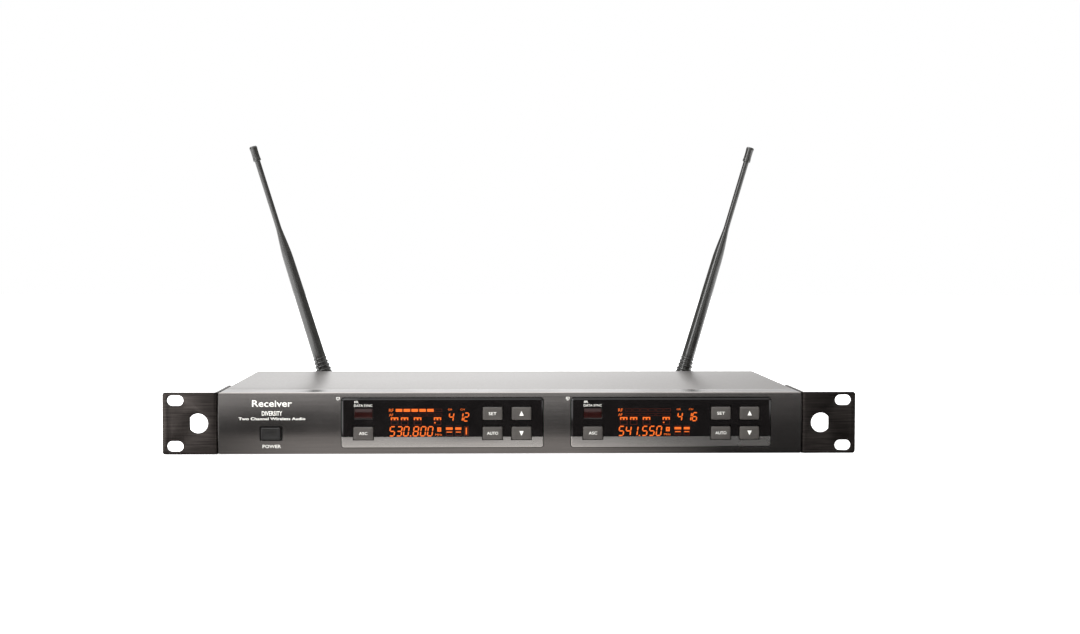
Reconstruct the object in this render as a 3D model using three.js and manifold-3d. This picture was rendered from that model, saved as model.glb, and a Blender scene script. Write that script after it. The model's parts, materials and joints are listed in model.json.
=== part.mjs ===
// A two-channel wireless receiver for a 19-inch rack, one unit high, with two whip antennas at the rear.
// Millimetres. +X is to the right as seen from the front, +Y runs to the rear, +Z is up.
// The origin is on the underside, midway across the case and midway along its depth.
import * as THREE from "three";
import { mergeVertices } from "three/addons/utils/BufferGeometryUtils.js";
import Module from "manifold-3d";

const wasm = await Module();
wasm.setup();

// ---------------------------------------------------------------- driving dimensions

// Case
const caseWidth = 406.4;
const caseHeight = 43;
const caseDepth = 200; // front face of the bezel to the rear edge of the cover
const sheet = 1.2; // steel sheet of the tray, the cover and the rear panel
const sheetBend = 1.6; // outer bend radius of the cover
const seat = 0.3; // gap between pieces that rest on each other
const trayFlangeGap = 9; // from the tray's side flanges to the top of the case
const trayFrontGap = 3; // from its front wall to the top of the case
const rearInset = 0.8; // the rear panel sits this far inside the cover's rear edge
const rearLip = 12; // flanges of the rear panel, turned forwards

// Bezel: an extruded channel, open to the rear
const bezelDepth = 24;
const bezelFace = 3;
const bezelLip = 2;
const bezelTopRadius = 2.2;
const bezelBottomRadius = 1;
const bezelCorner = 1.2;
const bezelPostInset = 12; // the outer posts, from the bezel's ends
const bezelPostRadius = 3;

// Rack ears
const earReach = 38.1; // from the case's side to the ear's tip, 482.6 over both ears
const earSheet = 2;
const earBend = 3;
const earFlangeLength = 64;
const earCorner = 1.8;
const slotLength = 11.3;
const slotWidth = 7.3;
const slotInset = 8.75; // from the ear's tip to the slots' centres
const slotSpacing = 31.75;
const handleHoleRadius = 6.85;
const handleHoleOffset = 13.7; // from the case's side to the hole's centre
const handleHoleFlat = 5.6; // from the hole's centre to its flat, on the outer side

// Window inserts
const windowRightMargin = 21.7; // from the bezel's right end to window b
const windowGap = 19.5; // between the two windows
const windowWidth = 140;
const windowHeight = 34.3;
const windowLow = 4.6;
const windowCorner = 1.8;
const windowProud = 0.8;
const windowBevel = 1.2;
const windowFlange = 1.7;
const windowFlangeThick = 1.5;
const stripHeight = 7.6;
const stripThick = 1.1;

// Keys: the columns are measured from the window's nearer end, the rows from its lower edge
const keyWidth = 13.6;
const keyHeight = 8.9;
const keyProud = 1.6;
const keyBevelDepth = 0.9;
const keyBevelWidth = 1.1;
const keyClearance = 0.45;
const keyFlange = 1.2;
const keyFlangeThick = 1;
const keyTravel = 0.5;
const keyStemLength = 2.5;
const keyStemSide = 3;
const leftColumn = 15.1;
const innerRightColumn = 35.3;
const outerRightColumn = 15.2;
const lowRow = 10;
const highRow = 23.7;

// Infrared lens, display and front board
const lensWidth = 12.5;
const lensHeight = 6.9;
const lensRecess = 0.2;
const lensFlange = 1.5;
const displayLeftGap = 6.3; // from the display's ends to the flanges of the nearest keys
const displayRightGap = 5.3;
const displayHeight = 25;
const displayRaise = 17.4; // from the window's lower edge to the display's centre
const displayThick = 7.6;
const boardThick = 1.6;
const frontBoardMargin = 5; // past the outermost posts
const frontBoardInset = 3.5; // from the underside and the top of the case
const tactSide = 6;
const tactClearance = 0.2; // left when a key is fully pressed
const tactPlungerLength = 0.7;

// Power button
const powerInset = 36.5; // from the bezel's left end
const powerZ = 14.5;
const powerWidth = 13.3;
const powerHeight = 8.2;
const powerGapWide = 1.1; // from the button's ends to its hole
const powerGapHigh = 0.95; // above and below the button
const powerCorner = 0.7;
const powerProud = 2.5;
const powerBevel = 0.5;
const powerFlange = 1.2; // past the hole, behind the bezel's face
const powerFlangeThick = 1;
const powerTravel = 2;
const powerStemRadius = 2;
const powerStemLength = 2.7;
const powerSwitchWidth = 12;
const powerSwitchHeight = 10;

// Screws through the case sides
const screwRadius = 1.8;
const screwHeadRadius = 3.5;
const screwHeadHeight = 1.6;
const screwLength = 6.5; // below the tray flange's inner face and above it, in all
const earScrewInset = 10; // from the ear flange's rear edge
const coverScrewInset = 20; // from the cover's rear edge
const earScrewPitch = 20;
const coverScrewPitch = 70;

// Main board
const mainBoardWidth = 196;
const mainBoardSetback = 17.7; // from the tray's front edge
const mainBoardZ = 7.7;
const boardPostRadius = 3;
const boardPostInset = 6;
const shieldWidth = 60;
const shieldHeight = 11;
const shieldWall = 0.8;
const shieldCentreX = 52;
const shieldSetback = 20; // from the board's front edge to the cans
const headerSpare = 2; // the headers are wider than the ribbon by this
const headerX = 20;
const headerHeight = 6;
const headerLength = 5;
const ribbonWidth = 24;
const ribbonThick = 0.9;
const ribbonFrontZ = 21;

// Rear sockets
const leftAntennaInset = 58.6; // from the case's side to the left BNC socket
const rightAntennaInset = 60.7; // and to the right one
const xlrCentres = { a: -28, b: 10 };
const jackX = 48;
const inletX = 84;
const xlrFlangeWidth = 26;
const xlrFlangeHeight = 31;
const xlrFlangeThick = 1.8;
const xlrFlangeCorner = 2.5;
const xlrBarrelRadius = 11.6;
const xlrCavityRadius = 9.3;
const xlrCavityDepth = 15;
const xlrLength = 21;
const xlrPinRadius = 1.2;
const xlrPinCircle = 5;
const xlrPinLength = 12;
const xlrScrewHoleRadius = 1.6;
const xlrScrewOffset = { x: 9.5, z: 12 };
const jackBoreRadius = 3.25;
const jackNoseRadius = 5.6;
const jackNoseLength = 4.5;
const jackBodyWidth = 15;
const jackBodyLength = 26;
const jackNutWall = 2.4;
const jackNutThick = 2;
const inletBoreRadius = 3.1;
const inletPinRadius = 1.05;
const inletNoseRadius = 5;
const inletNoseLength = 1.2;
const inletBodyWidth = 11;
const inletBodyLength = 14;

// BNC sockets, measured along the socket's axis from the antenna's hinge
const hingeBehindCase = 22;
const bncFlangeRadius = 6.8;
const bncFlangeThick = 2;
const bncBarrelRadius = 4.8;
const bncBarrelSetback = 3.4; // from the collar's end to the barrel's
const bncBoreRadius = 4;
const bncBoreDepth = 7.5;
const bncThreadRadius = 4.4;
const bncThreadLength = 10;
const bncTailRadius = 2.5;
const bncTailLength = 4;
const bncNutRadius = 7.4;
const bncNutThick = 2.4;
const coaxRadius = 1.35;

// Antennas, measured from the hinge
const leftAntennaLean = THREE.MathUtils.degToRad(17.3);
const rightAntennaLean = THREE.MathUtils.degToRad(16.4);
const collarRadius = 7.2;
const collarGap = 0.5; // from the collar to the elbow's block
const collarWall = 2;
const collarNeckRadius = 3;
const elbowRadius = 5.8;
const elbowBlockThick = 2.6;
const tongueHalf = 2.7;
const tongueRadius = 5.2;
const pinRadius = 1.5;
const pinHeadRadius = 2.5;
const pinHeadThick = 0.8;
const whipFootGap = 0.5; // from the elbow's cheeks to the whip's foot
const whipFootRadius = 6.5;
const ribStart = 20;
const ribPitch = 3.2;
const ribCount = 4;
const ribGroove = 1.2;
const ribDepth = 0.5;
const ribRadiusLow = 6.4;
const ribRadiusHigh = 5.5;
const whipThickStart = 33.5;
const whipThickLowRadius = 5.15;
const whipThickHighRadius = 4.2;
const whipTaperStart = 120.3;
const whipTaperEnd = 144.3;
const whipThinRadius = 2.25;
const capStart = 202.3;
const capLength = 13;
const capRadius = 3.2;
const capWaist = 3;
const capTop = 4; // solid end of the cap

// Places that follow from them
const frontY = -caseDepth / 2;
const rearY = caseDepth / 2;
const caseHalf = caseWidth / 2;
const innerHalf = caseHalf - sheet - seat; // outside of the tray's side flanges
const middleZ = caseHeight / 2;
const trayFlangeHeight = caseHeight - trayFlangeGap;
const trayFrontHeight = caseHeight - trayFrontGap;
const trayFrontY = frontY + bezelDepth + seat;
const rearFaceY = rearY - rearInset;
const rearInnerY = rearFaceY - sheet;
const windowBack = bezelFace + seat + windowFlangeThick; // behind the bezel's front face
const behindWindow = windowBack + seat;
const keyBack = behindWindow + keyFlangeThick;
const tactFront = keyBack + keyStemLength + keyTravel + tactClearance;
const frontBoardFront = behindWindow + displayThick + seat;
const mainBoardTop = mainBoardZ + boardThick;
const antennaX = (side) => side * (caseHalf - (side < 0 ? leftAntennaInset : rightAntennaInset));
const antennaY = rearY + hingeBehindCase;
const rearFaceFromHinge = rearFaceY - antennaY;
const windowCentreB = caseHalf - windowRightMargin - windowWidth / 2;
const windowCentres = { a: windowCentreB - windowWidth - windowGap, b: windowCentreB };
const windowLeft = -windowWidth / 2; // the window's ends, measured from its centre
const windowRight = windowWidth / 2;
const keyPlaces = {
  sync: { x: windowLeft + leftColumn, z: windowLow + lowRow },
  set: { x: windowRight - innerRightColumn, z: windowLow + highRow },
  auto: { x: windowRight - innerRightColumn, z: windowLow + lowRow },
  up: { x: windowRight - outerRightColumn, z: windowLow + highRow },
  down: { x: windowRight - outerRightColumn, z: windowLow + lowRow },
};
const lensX = windowLeft + leftColumn;
const lensZ = windowLow + highRow;
const keyReach = keyWidth / 2 + keyFlange; // from a key's centre to its flange's end
const displayLeftInset = leftColumn + keyReach + displayLeftGap;
const displayRightInset = innerRightColumn + keyReach + displayRightGap;
const displayWidth = windowWidth - displayLeftInset - displayRightInset;
const displayX = (displayLeftInset - displayRightInset) / 2;
const displayZ = windowLow + displayRaise;
const powerX = powerInset - caseHalf;
const powerHoleWidth = powerWidth + 2 * powerGapWide;
const powerHoleHeight = powerHeight + 2 * powerGapHigh;
const bezelPostXs = [
  bezelPostInset - caseHalf,
  (powerX + windowCentres.a + windowLeft) / 2,
  (windowCentres.a + windowCentres.b) / 2,
  caseHalf - bezelPostInset,
];
const earScrewRear = frontY + earFlangeLength - earScrewInset;
const earScrewYs = { front: earScrewRear - earScrewPitch, rear: earScrewRear };
const coverScrewRear = rearY - coverScrewInset;
const coverScrewYs = { front: coverScrewRear - coverScrewPitch, rear: coverScrewRear };
const mainBoardFrontY = trayFrontY + mainBoardSetback;
const mainBoardRearY = rearInnerY - jackBodyLength - 2 * seat; // clear of the sockets' bodies
const shieldDepth = (mainBoardRearY - mainBoardFrontY) / 3;
const headerWidth = ribbonWidth + headerSpare;
const boardPostXs = [boardPostInset - mainBoardWidth / 2, 0, mainBoardWidth / 2 - boardPostInset];
const boardPostYs = [mainBoardFrontY + boardPostInset, mainBoardRearY - boardPostInset];
const coaxBoardY = mainBoardRearY - 24;
const jackNutRadius = jackNoseRadius + jackNutWall;
const elbowCheekInner = tongueHalf + seat;
const elbowBlockFront = -tongueRadius - seat - elbowBlockThick;
const collarEnd = elbowBlockFront - collarGap;
const bncBarrelEnd = collarEnd - bncBarrelSetback;
const whipFootStart = elbowRadius + whipFootGap;
const capEnd = capStart + capLength;

const roundSides = 16; // sides of a round hole or barrel
const smallSides = 8; // sides of a screw, a post or a pin
const bncSides = 12;
const inletBoreSides = 12;
const inletPinSides = 6;
const whipSides = 12;
const slotArc = 2;
const handleHoleArc = 8;

// ---------------------------------------------------------------- shapes and solids

function solidOf(geometry) {
  const bare = geometry.clone();
  bare.deleteAttribute("normal");
  bare.deleteAttribute("uv");
  const merged = mergeVertices(bare, 1e-4);
  const mesh = new wasm.Mesh({
    numProp: 3,
    vertProperties: merged.attributes.position.array,
    triVerts: new Uint32Array(merged.index.array),
  });
  return new wasm.Manifold(mesh);
}

function geometryOf(solid) {
  const mesh = solid.getMesh();
  const geometry = new THREE.BufferGeometry();
  geometry.setAttribute("position", new THREE.BufferAttribute(mesh.vertProperties, mesh.numProp));
  geometry.setIndex(new THREE.BufferAttribute(mesh.triVerts, 1));
  geometry.computeVertexNormals();
  return geometry;
}

function joined(...solids) {
  return solids.reduce((whole, next) => whole.add(next));
}

function block(x0, x1, y0, y1, z0, z1) {
  const geometry = new THREE.BoxGeometry(x1 - x0, y1 - y0, z1 - z0);
  geometry.translate((x0 + x1) / 2, (y0 + y1) / 2, (z0 + z1) / 2);
  return solidOf(geometry);
}

// A rectangle with round corners, by its centre and size.
function roundedRectangle(centreX, centreY, width, height, radius) {
  const shape = new THREE.Shape();
  const right = width / 2 - radius;
  const top = height / 2 - radius;
  const quarter = Math.PI / 2;
  shape.absarc(centreX + right, centreY - top, radius, -quarter, 0, false);
  shape.absarc(centreX + right, centreY + top, radius, 0, quarter, false);
  shape.absarc(centreX - right, centreY + top, radius, quarter, 2 * quarter, false);
  shape.absarc(centreX - right, centreY - top, radius, 2 * quarter, 3 * quarter, false);
  shape.closePath();
  return shape;
}

function rectangle(centreX, centreY, width, height) {
  const right = width / 2;
  const top = height / 2;
  return polygon([
    [centreX - right, centreY - top],
    [centreX + right, centreY - top],
    [centreX + right, centreY + top],
    [centreX - right, centreY + top],
  ]);
}

function polygon(points) {
  return new THREE.Shape(points.map(([x, y]) => new THREE.Vector2(x, y)));
}

// A shape drawn as (x, z) and extruded along Y.
function alongY(shape, y0, y1, curveSegments = 2) {
  const geometry = new THREE.ExtrudeGeometry(shape, { depth: y1 - y0, bevelEnabled: false, curveSegments });
  geometry.rotateX(Math.PI / 2);
  geometry.translate(0, y1, 0);
  return solidOf(geometry);
}

// A shape drawn as (y, z) and extruded along X.
function alongX(shape, x0, x1, curveSegments = 2) {
  const geometry = new THREE.ExtrudeGeometry(shape, { depth: x1 - x0, bevelEnabled: false, curveSegments });
  const turn = new THREE.Matrix4();
  turn.makeBasis(new THREE.Vector3(0, 1, 0), new THREE.Vector3(0, 0, 1), new THREE.Vector3(1, 0, 0));
  geometry.applyMatrix4(turn);
  geometry.translate(x0, 0, 0);
  return solidOf(geometry);
}

// A shape drawn as (x, y) and extruded along Z.
function alongZ(shape, z0, z1, curveSegments = 2) {
  const geometry = new THREE.ExtrudeGeometry(shape, { depth: z1 - z0, bevelEnabled: false, curveSegments });
  geometry.translate(0, 0, z0);
  return solidOf(geometry);
}

// A shape drawn as (x, z), extruded along Y, with a bevel inside its outline at both ends.
function bevelledAlongY(shape, y0, y1, bevelDepth, bevelWidth) {
  const geometry = new THREE.ExtrudeGeometry(shape, {
    depth: y1 - y0 - 2 * bevelDepth,
    bevelEnabled: true,
    bevelThickness: bevelDepth,
    bevelSize: bevelWidth,
    bevelOffset: -bevelWidth,
    bevelSegments: 1,
    curveSegments: 2,
  });
  geometry.rotateX(Math.PI / 2);
  geometry.translate(0, y1 - bevelDepth, 0);
  return solidOf(geometry);
}

// Profiles are lists of [radius, distance along the axis].
function turnedAboutY(profile, segments = roundSides) {
  const points = profile.map(([radius, along]) => new THREE.Vector2(radius, along));
  return solidOf(new THREE.LatheGeometry(points, segments));
}

function turnedAboutZ(profile, segments = roundSides) {
  const points = profile.map(([radius, along]) => new THREE.Vector2(radius, along));
  const geometry = new THREE.LatheGeometry(points, segments);
  geometry.rotateX(Math.PI / 2);
  return solidOf(geometry);
}

function turnedAboutX(profile, segments = roundSides) {
  const points = profile.map(([radius, along]) => new THREE.Vector2(radius, along));
  const geometry = new THREE.LatheGeometry(points, segments);
  geometry.rotateZ(-Math.PI / 2);
  return solidOf(geometry);
}

function rodY(radius, y0, y1, x = 0, z = 0, segments = roundSides) {
  const geometry = new THREE.CylinderGeometry(radius, radius, y1 - y0, segments);
  geometry.translate(x, (y0 + y1) / 2, z);
  return solidOf(geometry);
}

function rodX(radius, x0, x1, y, z, segments = roundSides) {
  const geometry = new THREE.CylinderGeometry(radius, radius, x1 - x0, segments);
  geometry.rotateZ(Math.PI / 2);
  geometry.translate((x0 + x1) / 2, y, z);
  return solidOf(geometry);
}

function rodZ(radius, z0, z1, x, y, segments = roundSides) {
  const geometry = new THREE.CylinderGeometry(radius, radius, z1 - z0, segments);
  geometry.rotateX(Math.PI / 2);
  geometry.translate(x, y, (z0 + z1) / 2);
  return solidOf(geometry);
}

// ---------------------------------------------------------------- finishes and nodes

function finish(colour, roughness, metalness) {
  return () => new THREE.MeshStandardMaterial({ color: colour, roughness, metalness });
}

const finishes = {
  gunmetal: finish(0x5c5954, 0.42, 0.8),
  greyPaint: finish(0xb4b2ae, 0.5, 0.3),
  bareSteel: finish(0xa9aaab, 0.45, 0.9),
  blackPaint: finish(0x2c2827, 0.45, 0.2),
  blackAcrylic: finish(0x141011, 0.08, 0),
  silverTrim: finish(0xb3ada8, 0.3, 0.9),
  redLens: finish(0x35191a, 0.15, 0),
  keyPlastic: finish(0x55504a, 0.5, 0),
  displayGlass: finish(0x1c1210, 0.2, 0),
  boardGreen: finish(0x1f5a38, 0.5, 0),
  blackPlastic: finish(0x1b1a19, 0.6, 0),
  nickel: finish(0xc8c6c0, 0.25, 1),
  tinPlate: finish(0xbdbdb8, 0.35, 0.95),
  greyRibbon: finish(0x8c8b88, 0.7, 0),
  brownJacket: finish(0x4a2d20, 0.5, 0),
  blackRubber: finish(0x3a3937, 0.65, 0),
  screwBlack: finish(0x1c1c1c, 0.35, 0.8),
};

const receiver = new THREE.Group();

function addNode(parent, name, solid, makeMaterial, place = [0, 0, 0]) {
  const mesh = new THREE.Mesh(geometryOf(solid), makeMaterial());
  mesh.name = name;
  mesh.position.set(...place);
  parent.add(mesh);
}

function addGroup(parent, place) {
  const group = new THREE.Group();
  group.position.set(...place);
  parent.add(group);
  return group;
}

// ---------------------------------------------------------------- outlines that pieces share

function windowOutline(extra) {
  const centreZ = windowLow + windowHeight / 2;
  return roundedRectangle(0, centreZ, windowWidth + 2 * extra, windowHeight + 2 * extra, windowCorner);
}

function keyOutline(x, z, extra) {
  return rectangle(x, z, keyWidth + 2 * extra, keyHeight + 2 * extra);
}

function lensOutline(x, z, extra) {
  return rectangle(x, z, lensWidth + 2 * extra, lensHeight + 2 * extra);
}

function screwHole(side, y, fromX, toX) {
  const ends = [side * fromX, side * toX];
  return rodX(screwRadius + seat, Math.min(...ends), Math.max(...ends), y, middleZ, smallSides);
}

// ---------------------------------------------------------------- bezel and what it carries

function frontPanel() {
  const rear = frontY + bezelDepth;
  const inside = frontY + bezelFace;
  const channel = new THREE.Shape();
  channel.moveTo(rear, 0);
  channel.lineTo(rear, bezelLip);
  channel.lineTo(inside, bezelLip);
  channel.lineTo(inside, caseHeight - bezelLip);
  channel.lineTo(rear, caseHeight - bezelLip);
  channel.lineTo(rear, caseHeight);
  channel.absarc(frontY + bezelTopRadius, caseHeight - bezelTopRadius, bezelTopRadius,
    Math.PI / 2, Math.PI, false);
  channel.absarc(frontY + bezelBottomRadius, bezelBottomRadius, bezelBottomRadius,
    Math.PI, 1.5 * Math.PI, false);
  channel.closePath();
  const ends = roundedRectangle(0, middleZ, caseWidth, caseHeight, bezelCorner);
  let panel = alongX(channel, -caseHalf, caseHalf).intersect(alongY(ends, frontY - 1, rear + 1, 1));
  for (const x of bezelPostXs) {
    const postEnd = frontY + frontBoardFront - seat;
    panel = panel.add(rodY(bezelPostRadius, inside - 1, postEnd, x, middleZ, smallSides));
  }
  for (const centre of Object.values(windowCentres)) {
    const outline = windowOutline(seat);
    const geometryCut = alongY(outline, frontY - 1, inside + 1);
    panel = panel.subtract(geometryCut.translate([centre, 0, 0]));
  }
  const hole = roundedRectangle(powerX, powerZ, powerHoleWidth, powerHoleHeight, powerCorner);
  return panel.subtract(alongY(hole, frontY - 1, inside + 1));
}

// Everything in one window: built around the window's centre, with y = 0 on the bezel's front face.
function cutForKeys(solid) {
  let cut = solid;
  for (const { x, z } of Object.values(keyPlaces)) {
    cut = cut.subtract(alongY(keyOutline(x, z, keyClearance), -windowProud - 1, windowBack + 1));
  }
  return cut;
}

function windowPlug() {
  return bevelledAlongY(windowOutline(0), -windowProud, windowBack, windowProud, windowBevel);
}

function windowInsert() {
  const flange = alongY(windowOutline(windowFlange), bezelFace + seat, windowBack);
  const stripTop = windowLow + stripHeight + seat / 2;
  const stripBack = -windowProud + stripThick + seat;
  const stripRoom = block(-windowWidth, windowWidth, -windowProud - 1, stripBack, 0, stripTop);
  const lensCut = alongY(lensOutline(lensX, lensZ, seat), -windowProud - 1, windowBack + 1);
  return cutForKeys(windowPlug().add(flange).subtract(stripRoom).subtract(lensCut));
}

function trimStrip() {
  const stripTop = windowLow + stripHeight - seat / 2;
  const stripBack = -windowProud + stripThick;
  const band = block(-windowWidth, windowWidth, -windowProud - 1, stripBack, 0, stripTop);
  return cutForKeys(windowPlug().intersect(band));
}

function key() {
  const front = -windowProud - keyProud;
  const cap = bevelledAlongY(keyOutline(0, 0, 0), front, keyBack, keyBevelDepth, keyBevelWidth);
  const flange = alongY(keyOutline(0, 0, keyFlange), behindWindow, keyBack);
  const half = keyStemSide / 2;
  const stem = block(-half, half, keyBack - 0.5, keyBack + keyStemLength, -half, half);
  return joined(cap, flange, stem);
}

function infraredLens() {
  const front = -windowProud + lensRecess;
  const flange = alongY(lensOutline(0, 0, lensFlange), behindWindow, keyBack);
  return alongY(lensOutline(0, 0, 0), front, keyBack).add(flange);
}

function display() {
  const halfWidth = displayWidth / 2;
  const halfHeight = displayHeight / 2;
  return block(-halfWidth, halfWidth, 0, displayThick, -halfHeight, halfHeight);
}

function frontBoard() {
  const left = Math.min(...bezelPostXs) - frontBoardMargin;
  const right = Math.max(...bezelPostXs) + frontBoardMargin;
  const low = frontBoardInset;
  const front = frontY + frontBoardFront;
  const back = front + boardThick;
  let board = block(left, right, front, back, low, caseHeight - low);
  const half = tactSide / 2;
  const plunger = keyStemSide / 2;
  for (const centre of Object.values(windowCentres)) {
    for (const place of Object.values(keyPlaces)) {
      const x = centre + place.x;
      const bodyFront = frontY + tactFront + tactPlungerLength;
      const body = block(x - half, x + half, bodyFront, front + 0.5, place.z - half, place.z + half);
      const tip = block(x - plunger, x + plunger, frontY + tactFront, bodyFront + 0.5,
        place.z - plunger, place.z + plunger);
      board = joined(board, body, tip);
    }
  }
  const header = block(headerX - headerWidth / 2, headerX + headerWidth / 2, back - 0.5, back + headerLength,
    ribbonFrontZ - headerHeight / 2, ribbonFrontZ + headerHeight / 2);
  return board.add(header);
}

function powerButton() {
  const back = bezelFace + seat + powerFlangeThick;
  const outline = roundedRectangle(0, 0, powerWidth, powerHeight, powerCorner);
  const cap = bevelledAlongY(outline, -powerProud, back, powerBevel, powerBevel);
  const flangeOutline = rectangle(0, 0, powerHoleWidth + 2 * powerFlange, powerHoleHeight + 2 * powerFlange);
  const flange = alongY(flangeOutline, bezelFace + seat, back);
  const stem = rodY(powerStemRadius, back - 0.5, back + powerStemLength, 0, 0, smallSides);
  return joined(cap, flange, stem);
}

function powerSwitch() {
  const front = bezelFace + seat + powerFlangeThick + powerStemLength + powerTravel + seat;
  const back = frontBoardFront - seat;
  return block(-powerSwitchWidth / 2, powerSwitchWidth / 2, front, back,
    -powerSwitchHeight / 2, powerSwitchHeight / 2);
}

// ---------------------------------------------------------------- case

function baseTray() {
  const rear = rearInnerY - seat;
  const wall = innerHalf - sheet;
  const channel = polygon([
    [-innerHalf, 0],
    [innerHalf, 0],
    [innerHalf, trayFlangeHeight],
    [wall, trayFlangeHeight],
    [wall, sheet],
    [-wall, sheet],
    [-wall, trayFlangeHeight],
    [-innerHalf, trayFlangeHeight],
  ]);
  // The front wall stands just behind the floor's edge, between the side flanges.
  const wallFront = trayFrontY + sheet / 4;
  const wallBack = wallFront + sheet;
  const wallEnd = innerHalf - sheet / 2;
  const front = block(-wallEnd, wallEnd, wallFront, wallBack, sheet / 2, trayFrontHeight);
  const margin = 6;
  const passage = block(headerX - headerWidth / 2 - margin, headerX + headerWidth / 2 + margin,
    wallFront - 1, wallBack + 1, mainBoardZ, trayFrontHeight - margin);
  let tray = alongY(channel, trayFrontY, rear).add(front).subtract(passage);
  for (const x of boardPostXs) {
    for (const y of boardPostYs) {
      tray = tray.add(rodZ(boardPostRadius, sheet / 2, mainBoardZ - seat, x, y, smallSides));
    }
  }
  for (const side of [-1, 1]) {
    for (const y of [...Object.values(earScrewYs), ...Object.values(coverScrewYs)]) {
      tray = tray.subtract(screwHole(side, y, wall - 1, innerHalf + 1));
    }
  }
  return tray;
}

function topCover() {
  const inner = caseHalf - sheet;
  const innerBend = sheetBend - sheet;
  const section = new THREE.Shape();
  section.moveTo(-caseHalf, seat);
  section.lineTo(-inner, seat);
  section.lineTo(-inner, caseHeight - sheet - innerBend);
  section.absarc(-inner + innerBend, caseHeight - sheet - innerBend, innerBend, Math.PI, Math.PI / 2, true);
  section.absarc(inner - innerBend, caseHeight - sheet - innerBend, innerBend, Math.PI / 2, 0, true);
  section.lineTo(inner, seat);
  section.lineTo(caseHalf, seat);
  section.absarc(caseHalf - sheetBend, caseHeight - sheetBend, sheetBend, 0, Math.PI / 2, false);
  section.absarc(-caseHalf + sheetBend, caseHeight - sheetBend, sheetBend, Math.PI / 2, Math.PI, false);
  section.closePath();
  let cover = alongY(section, trayFrontY, rearY);
  for (const side of [-1, 1]) {
    for (const y of [...Object.values(earScrewYs), ...Object.values(coverScrewYs)]) {
      cover = cover.subtract(screwHole(side, y, inner - 1, caseHalf + 1));
    }
  }
  return cover;
}

function rearPanel() {
  const low = sheet + seat;
  const high = caseHeight - sheet - seat;
  const front = rearInnerY - rearLip;
  const plate = block(-innerHalf, innerHalf, rearInnerY, rearFaceY, low, high);
  const upper = block(-innerHalf, innerHalf, front, rearInnerY + 0.5, high - sheet, high);
  const lower = block(-innerHalf, innerHalf, front, rearInnerY + 0.5, low, low + sheet);
  const trayWall = sheet + seat;
  const trayRoom = [-1, 1].map((side) => {
    const near = side * (innerHalf - trayWall);
    const far = side * (innerHalf + 1);
    return block(Math.min(near, far), Math.max(near, far), front - 1, rearInnerY, 0, trayFlangeHeight + seat);
  });
  let panel = joined(plate, upper, lower).subtract(trayRoom[0]).subtract(trayRoom[1]);
  const cut = (radius, x) => {
    panel = panel.subtract(rodY(radius, rearInnerY - 1, rearFaceY + 1, x, middleZ));
  };
  cut(bncThreadRadius + seat, antennaX(-1));
  cut(bncThreadRadius + seat, antennaX(1));
  cut(xlrBarrelRadius + seat, xlrCentres.a);
  cut(xlrBarrelRadius + seat, xlrCentres.b);
  cut(jackNoseRadius + seat, jackX);
  cut(inletNoseRadius + seat, inletX);
  return panel;
}

function rackEar(side) {
  const inner = caseHalf + seat;
  const outer = inner + earSheet;
  const faceBack = frontY + earSheet;
  const innerBend = earBend - earSheet;
  const tip = caseHalf + earReach;
  const plan = new THREE.Shape();
  plan.moveTo(tip, frontY);
  plan.lineTo(tip, faceBack);
  plan.absarc(outer + innerBend, faceBack + innerBend, innerBend, 1.5 * Math.PI, Math.PI, true);
  plan.lineTo(outer, frontY + earFlangeLength);
  plan.lineTo(inner, frontY + earFlangeLength);
  plan.absarc(inner + earBend, frontY + earBend, earBend, Math.PI, 1.5 * Math.PI, false);
  plan.closePath();
  const width = tip - caseHalf + 2 * earCorner;
  const outline = roundedRectangle(tip - width / 2, middleZ, width, caseHeight, earCorner);
  let ear = alongZ(plan, 0, caseHeight);
  ear = ear.intersect(alongY(outline, frontY - 1, frontY + earFlangeLength + 1));
  for (const z of [middleZ - slotSpacing / 2, middleZ + slotSpacing / 2]) {
    const slot = roundedRectangle(tip - slotInset, z, slotLength, slotWidth, slotWidth / 2 - 0.001);
    ear = ear.subtract(alongY(slot, frontY - 1, faceBack + 1, slotArc));
  }
  const flatAngle = Math.acos(handleHoleFlat / handleHoleRadius);
  const handleHole = new THREE.Shape();
  handleHole.absarc(caseHalf + handleHoleOffset, middleZ, handleHoleRadius,
    flatAngle, 2 * Math.PI - flatAngle, false);
  handleHole.closePath();
  ear = ear.subtract(alongY(handleHole, frontY - 1, faceBack + 1, handleHoleArc));
  for (const y of Object.values(earScrewYs)) {
    ear = ear.subtract(screwHole(1, y, inner - 1, outer + 1));
  }
  return side > 0 ? ear : ear.mirror([1, 0, 0]);
}

// A pan-head screw along +X, with x = 0 under its head.
function panScrew(shank) {
  const crown = screwHeadHeight / 2;
  return turnedAboutX([
    [0, -shank],
    [screwRadius, -shank],
    [screwRadius, 0],
    [screwHeadRadius, 0],
    [screwHeadRadius, crown],
    [screwHeadRadius * 0.7, screwHeadHeight],
    [0, screwHeadHeight],
  ], smallSides);
}

// ---------------------------------------------------------------- inside

function mainBoard() {
  const half = mainBoardWidth / 2;
  let board = block(-half, half, mainBoardFrontY, mainBoardRearY, mainBoardZ, mainBoardTop);
  const onBoard = (x, y, width, depth, height) => {
    const part = block(x - width / 2, x + width / 2, y - depth / 2, y + depth / 2,
      mainBoardTop - 0.5, mainBoardTop + height);
    board = board.add(part);
  };
  onBoard(headerX, mainBoardFrontY + headerLength / 2, headerWidth, headerLength, headerHeight);
  onBoard(-4, coaxBoardY - 8, 22, 22, 2);
  onBoard(-shieldCentreX, coaxBoardY - 4, 14, 10, 2);
  onBoard(shieldCentreX, coaxBoardY - 4, 14, 10, 2);
  for (const side of [-1, 1]) {
    onBoard(side * (half - 5), coaxBoardY, 8, 8, 6);
  }
  for (const x of [62, 76]) {
    board = board.add(rodZ(5, mainBoardTop - 0.5, mainBoardTop + 14, x, mainBoardRearY - 8, smallSides));
  }
  return board;
}

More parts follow.
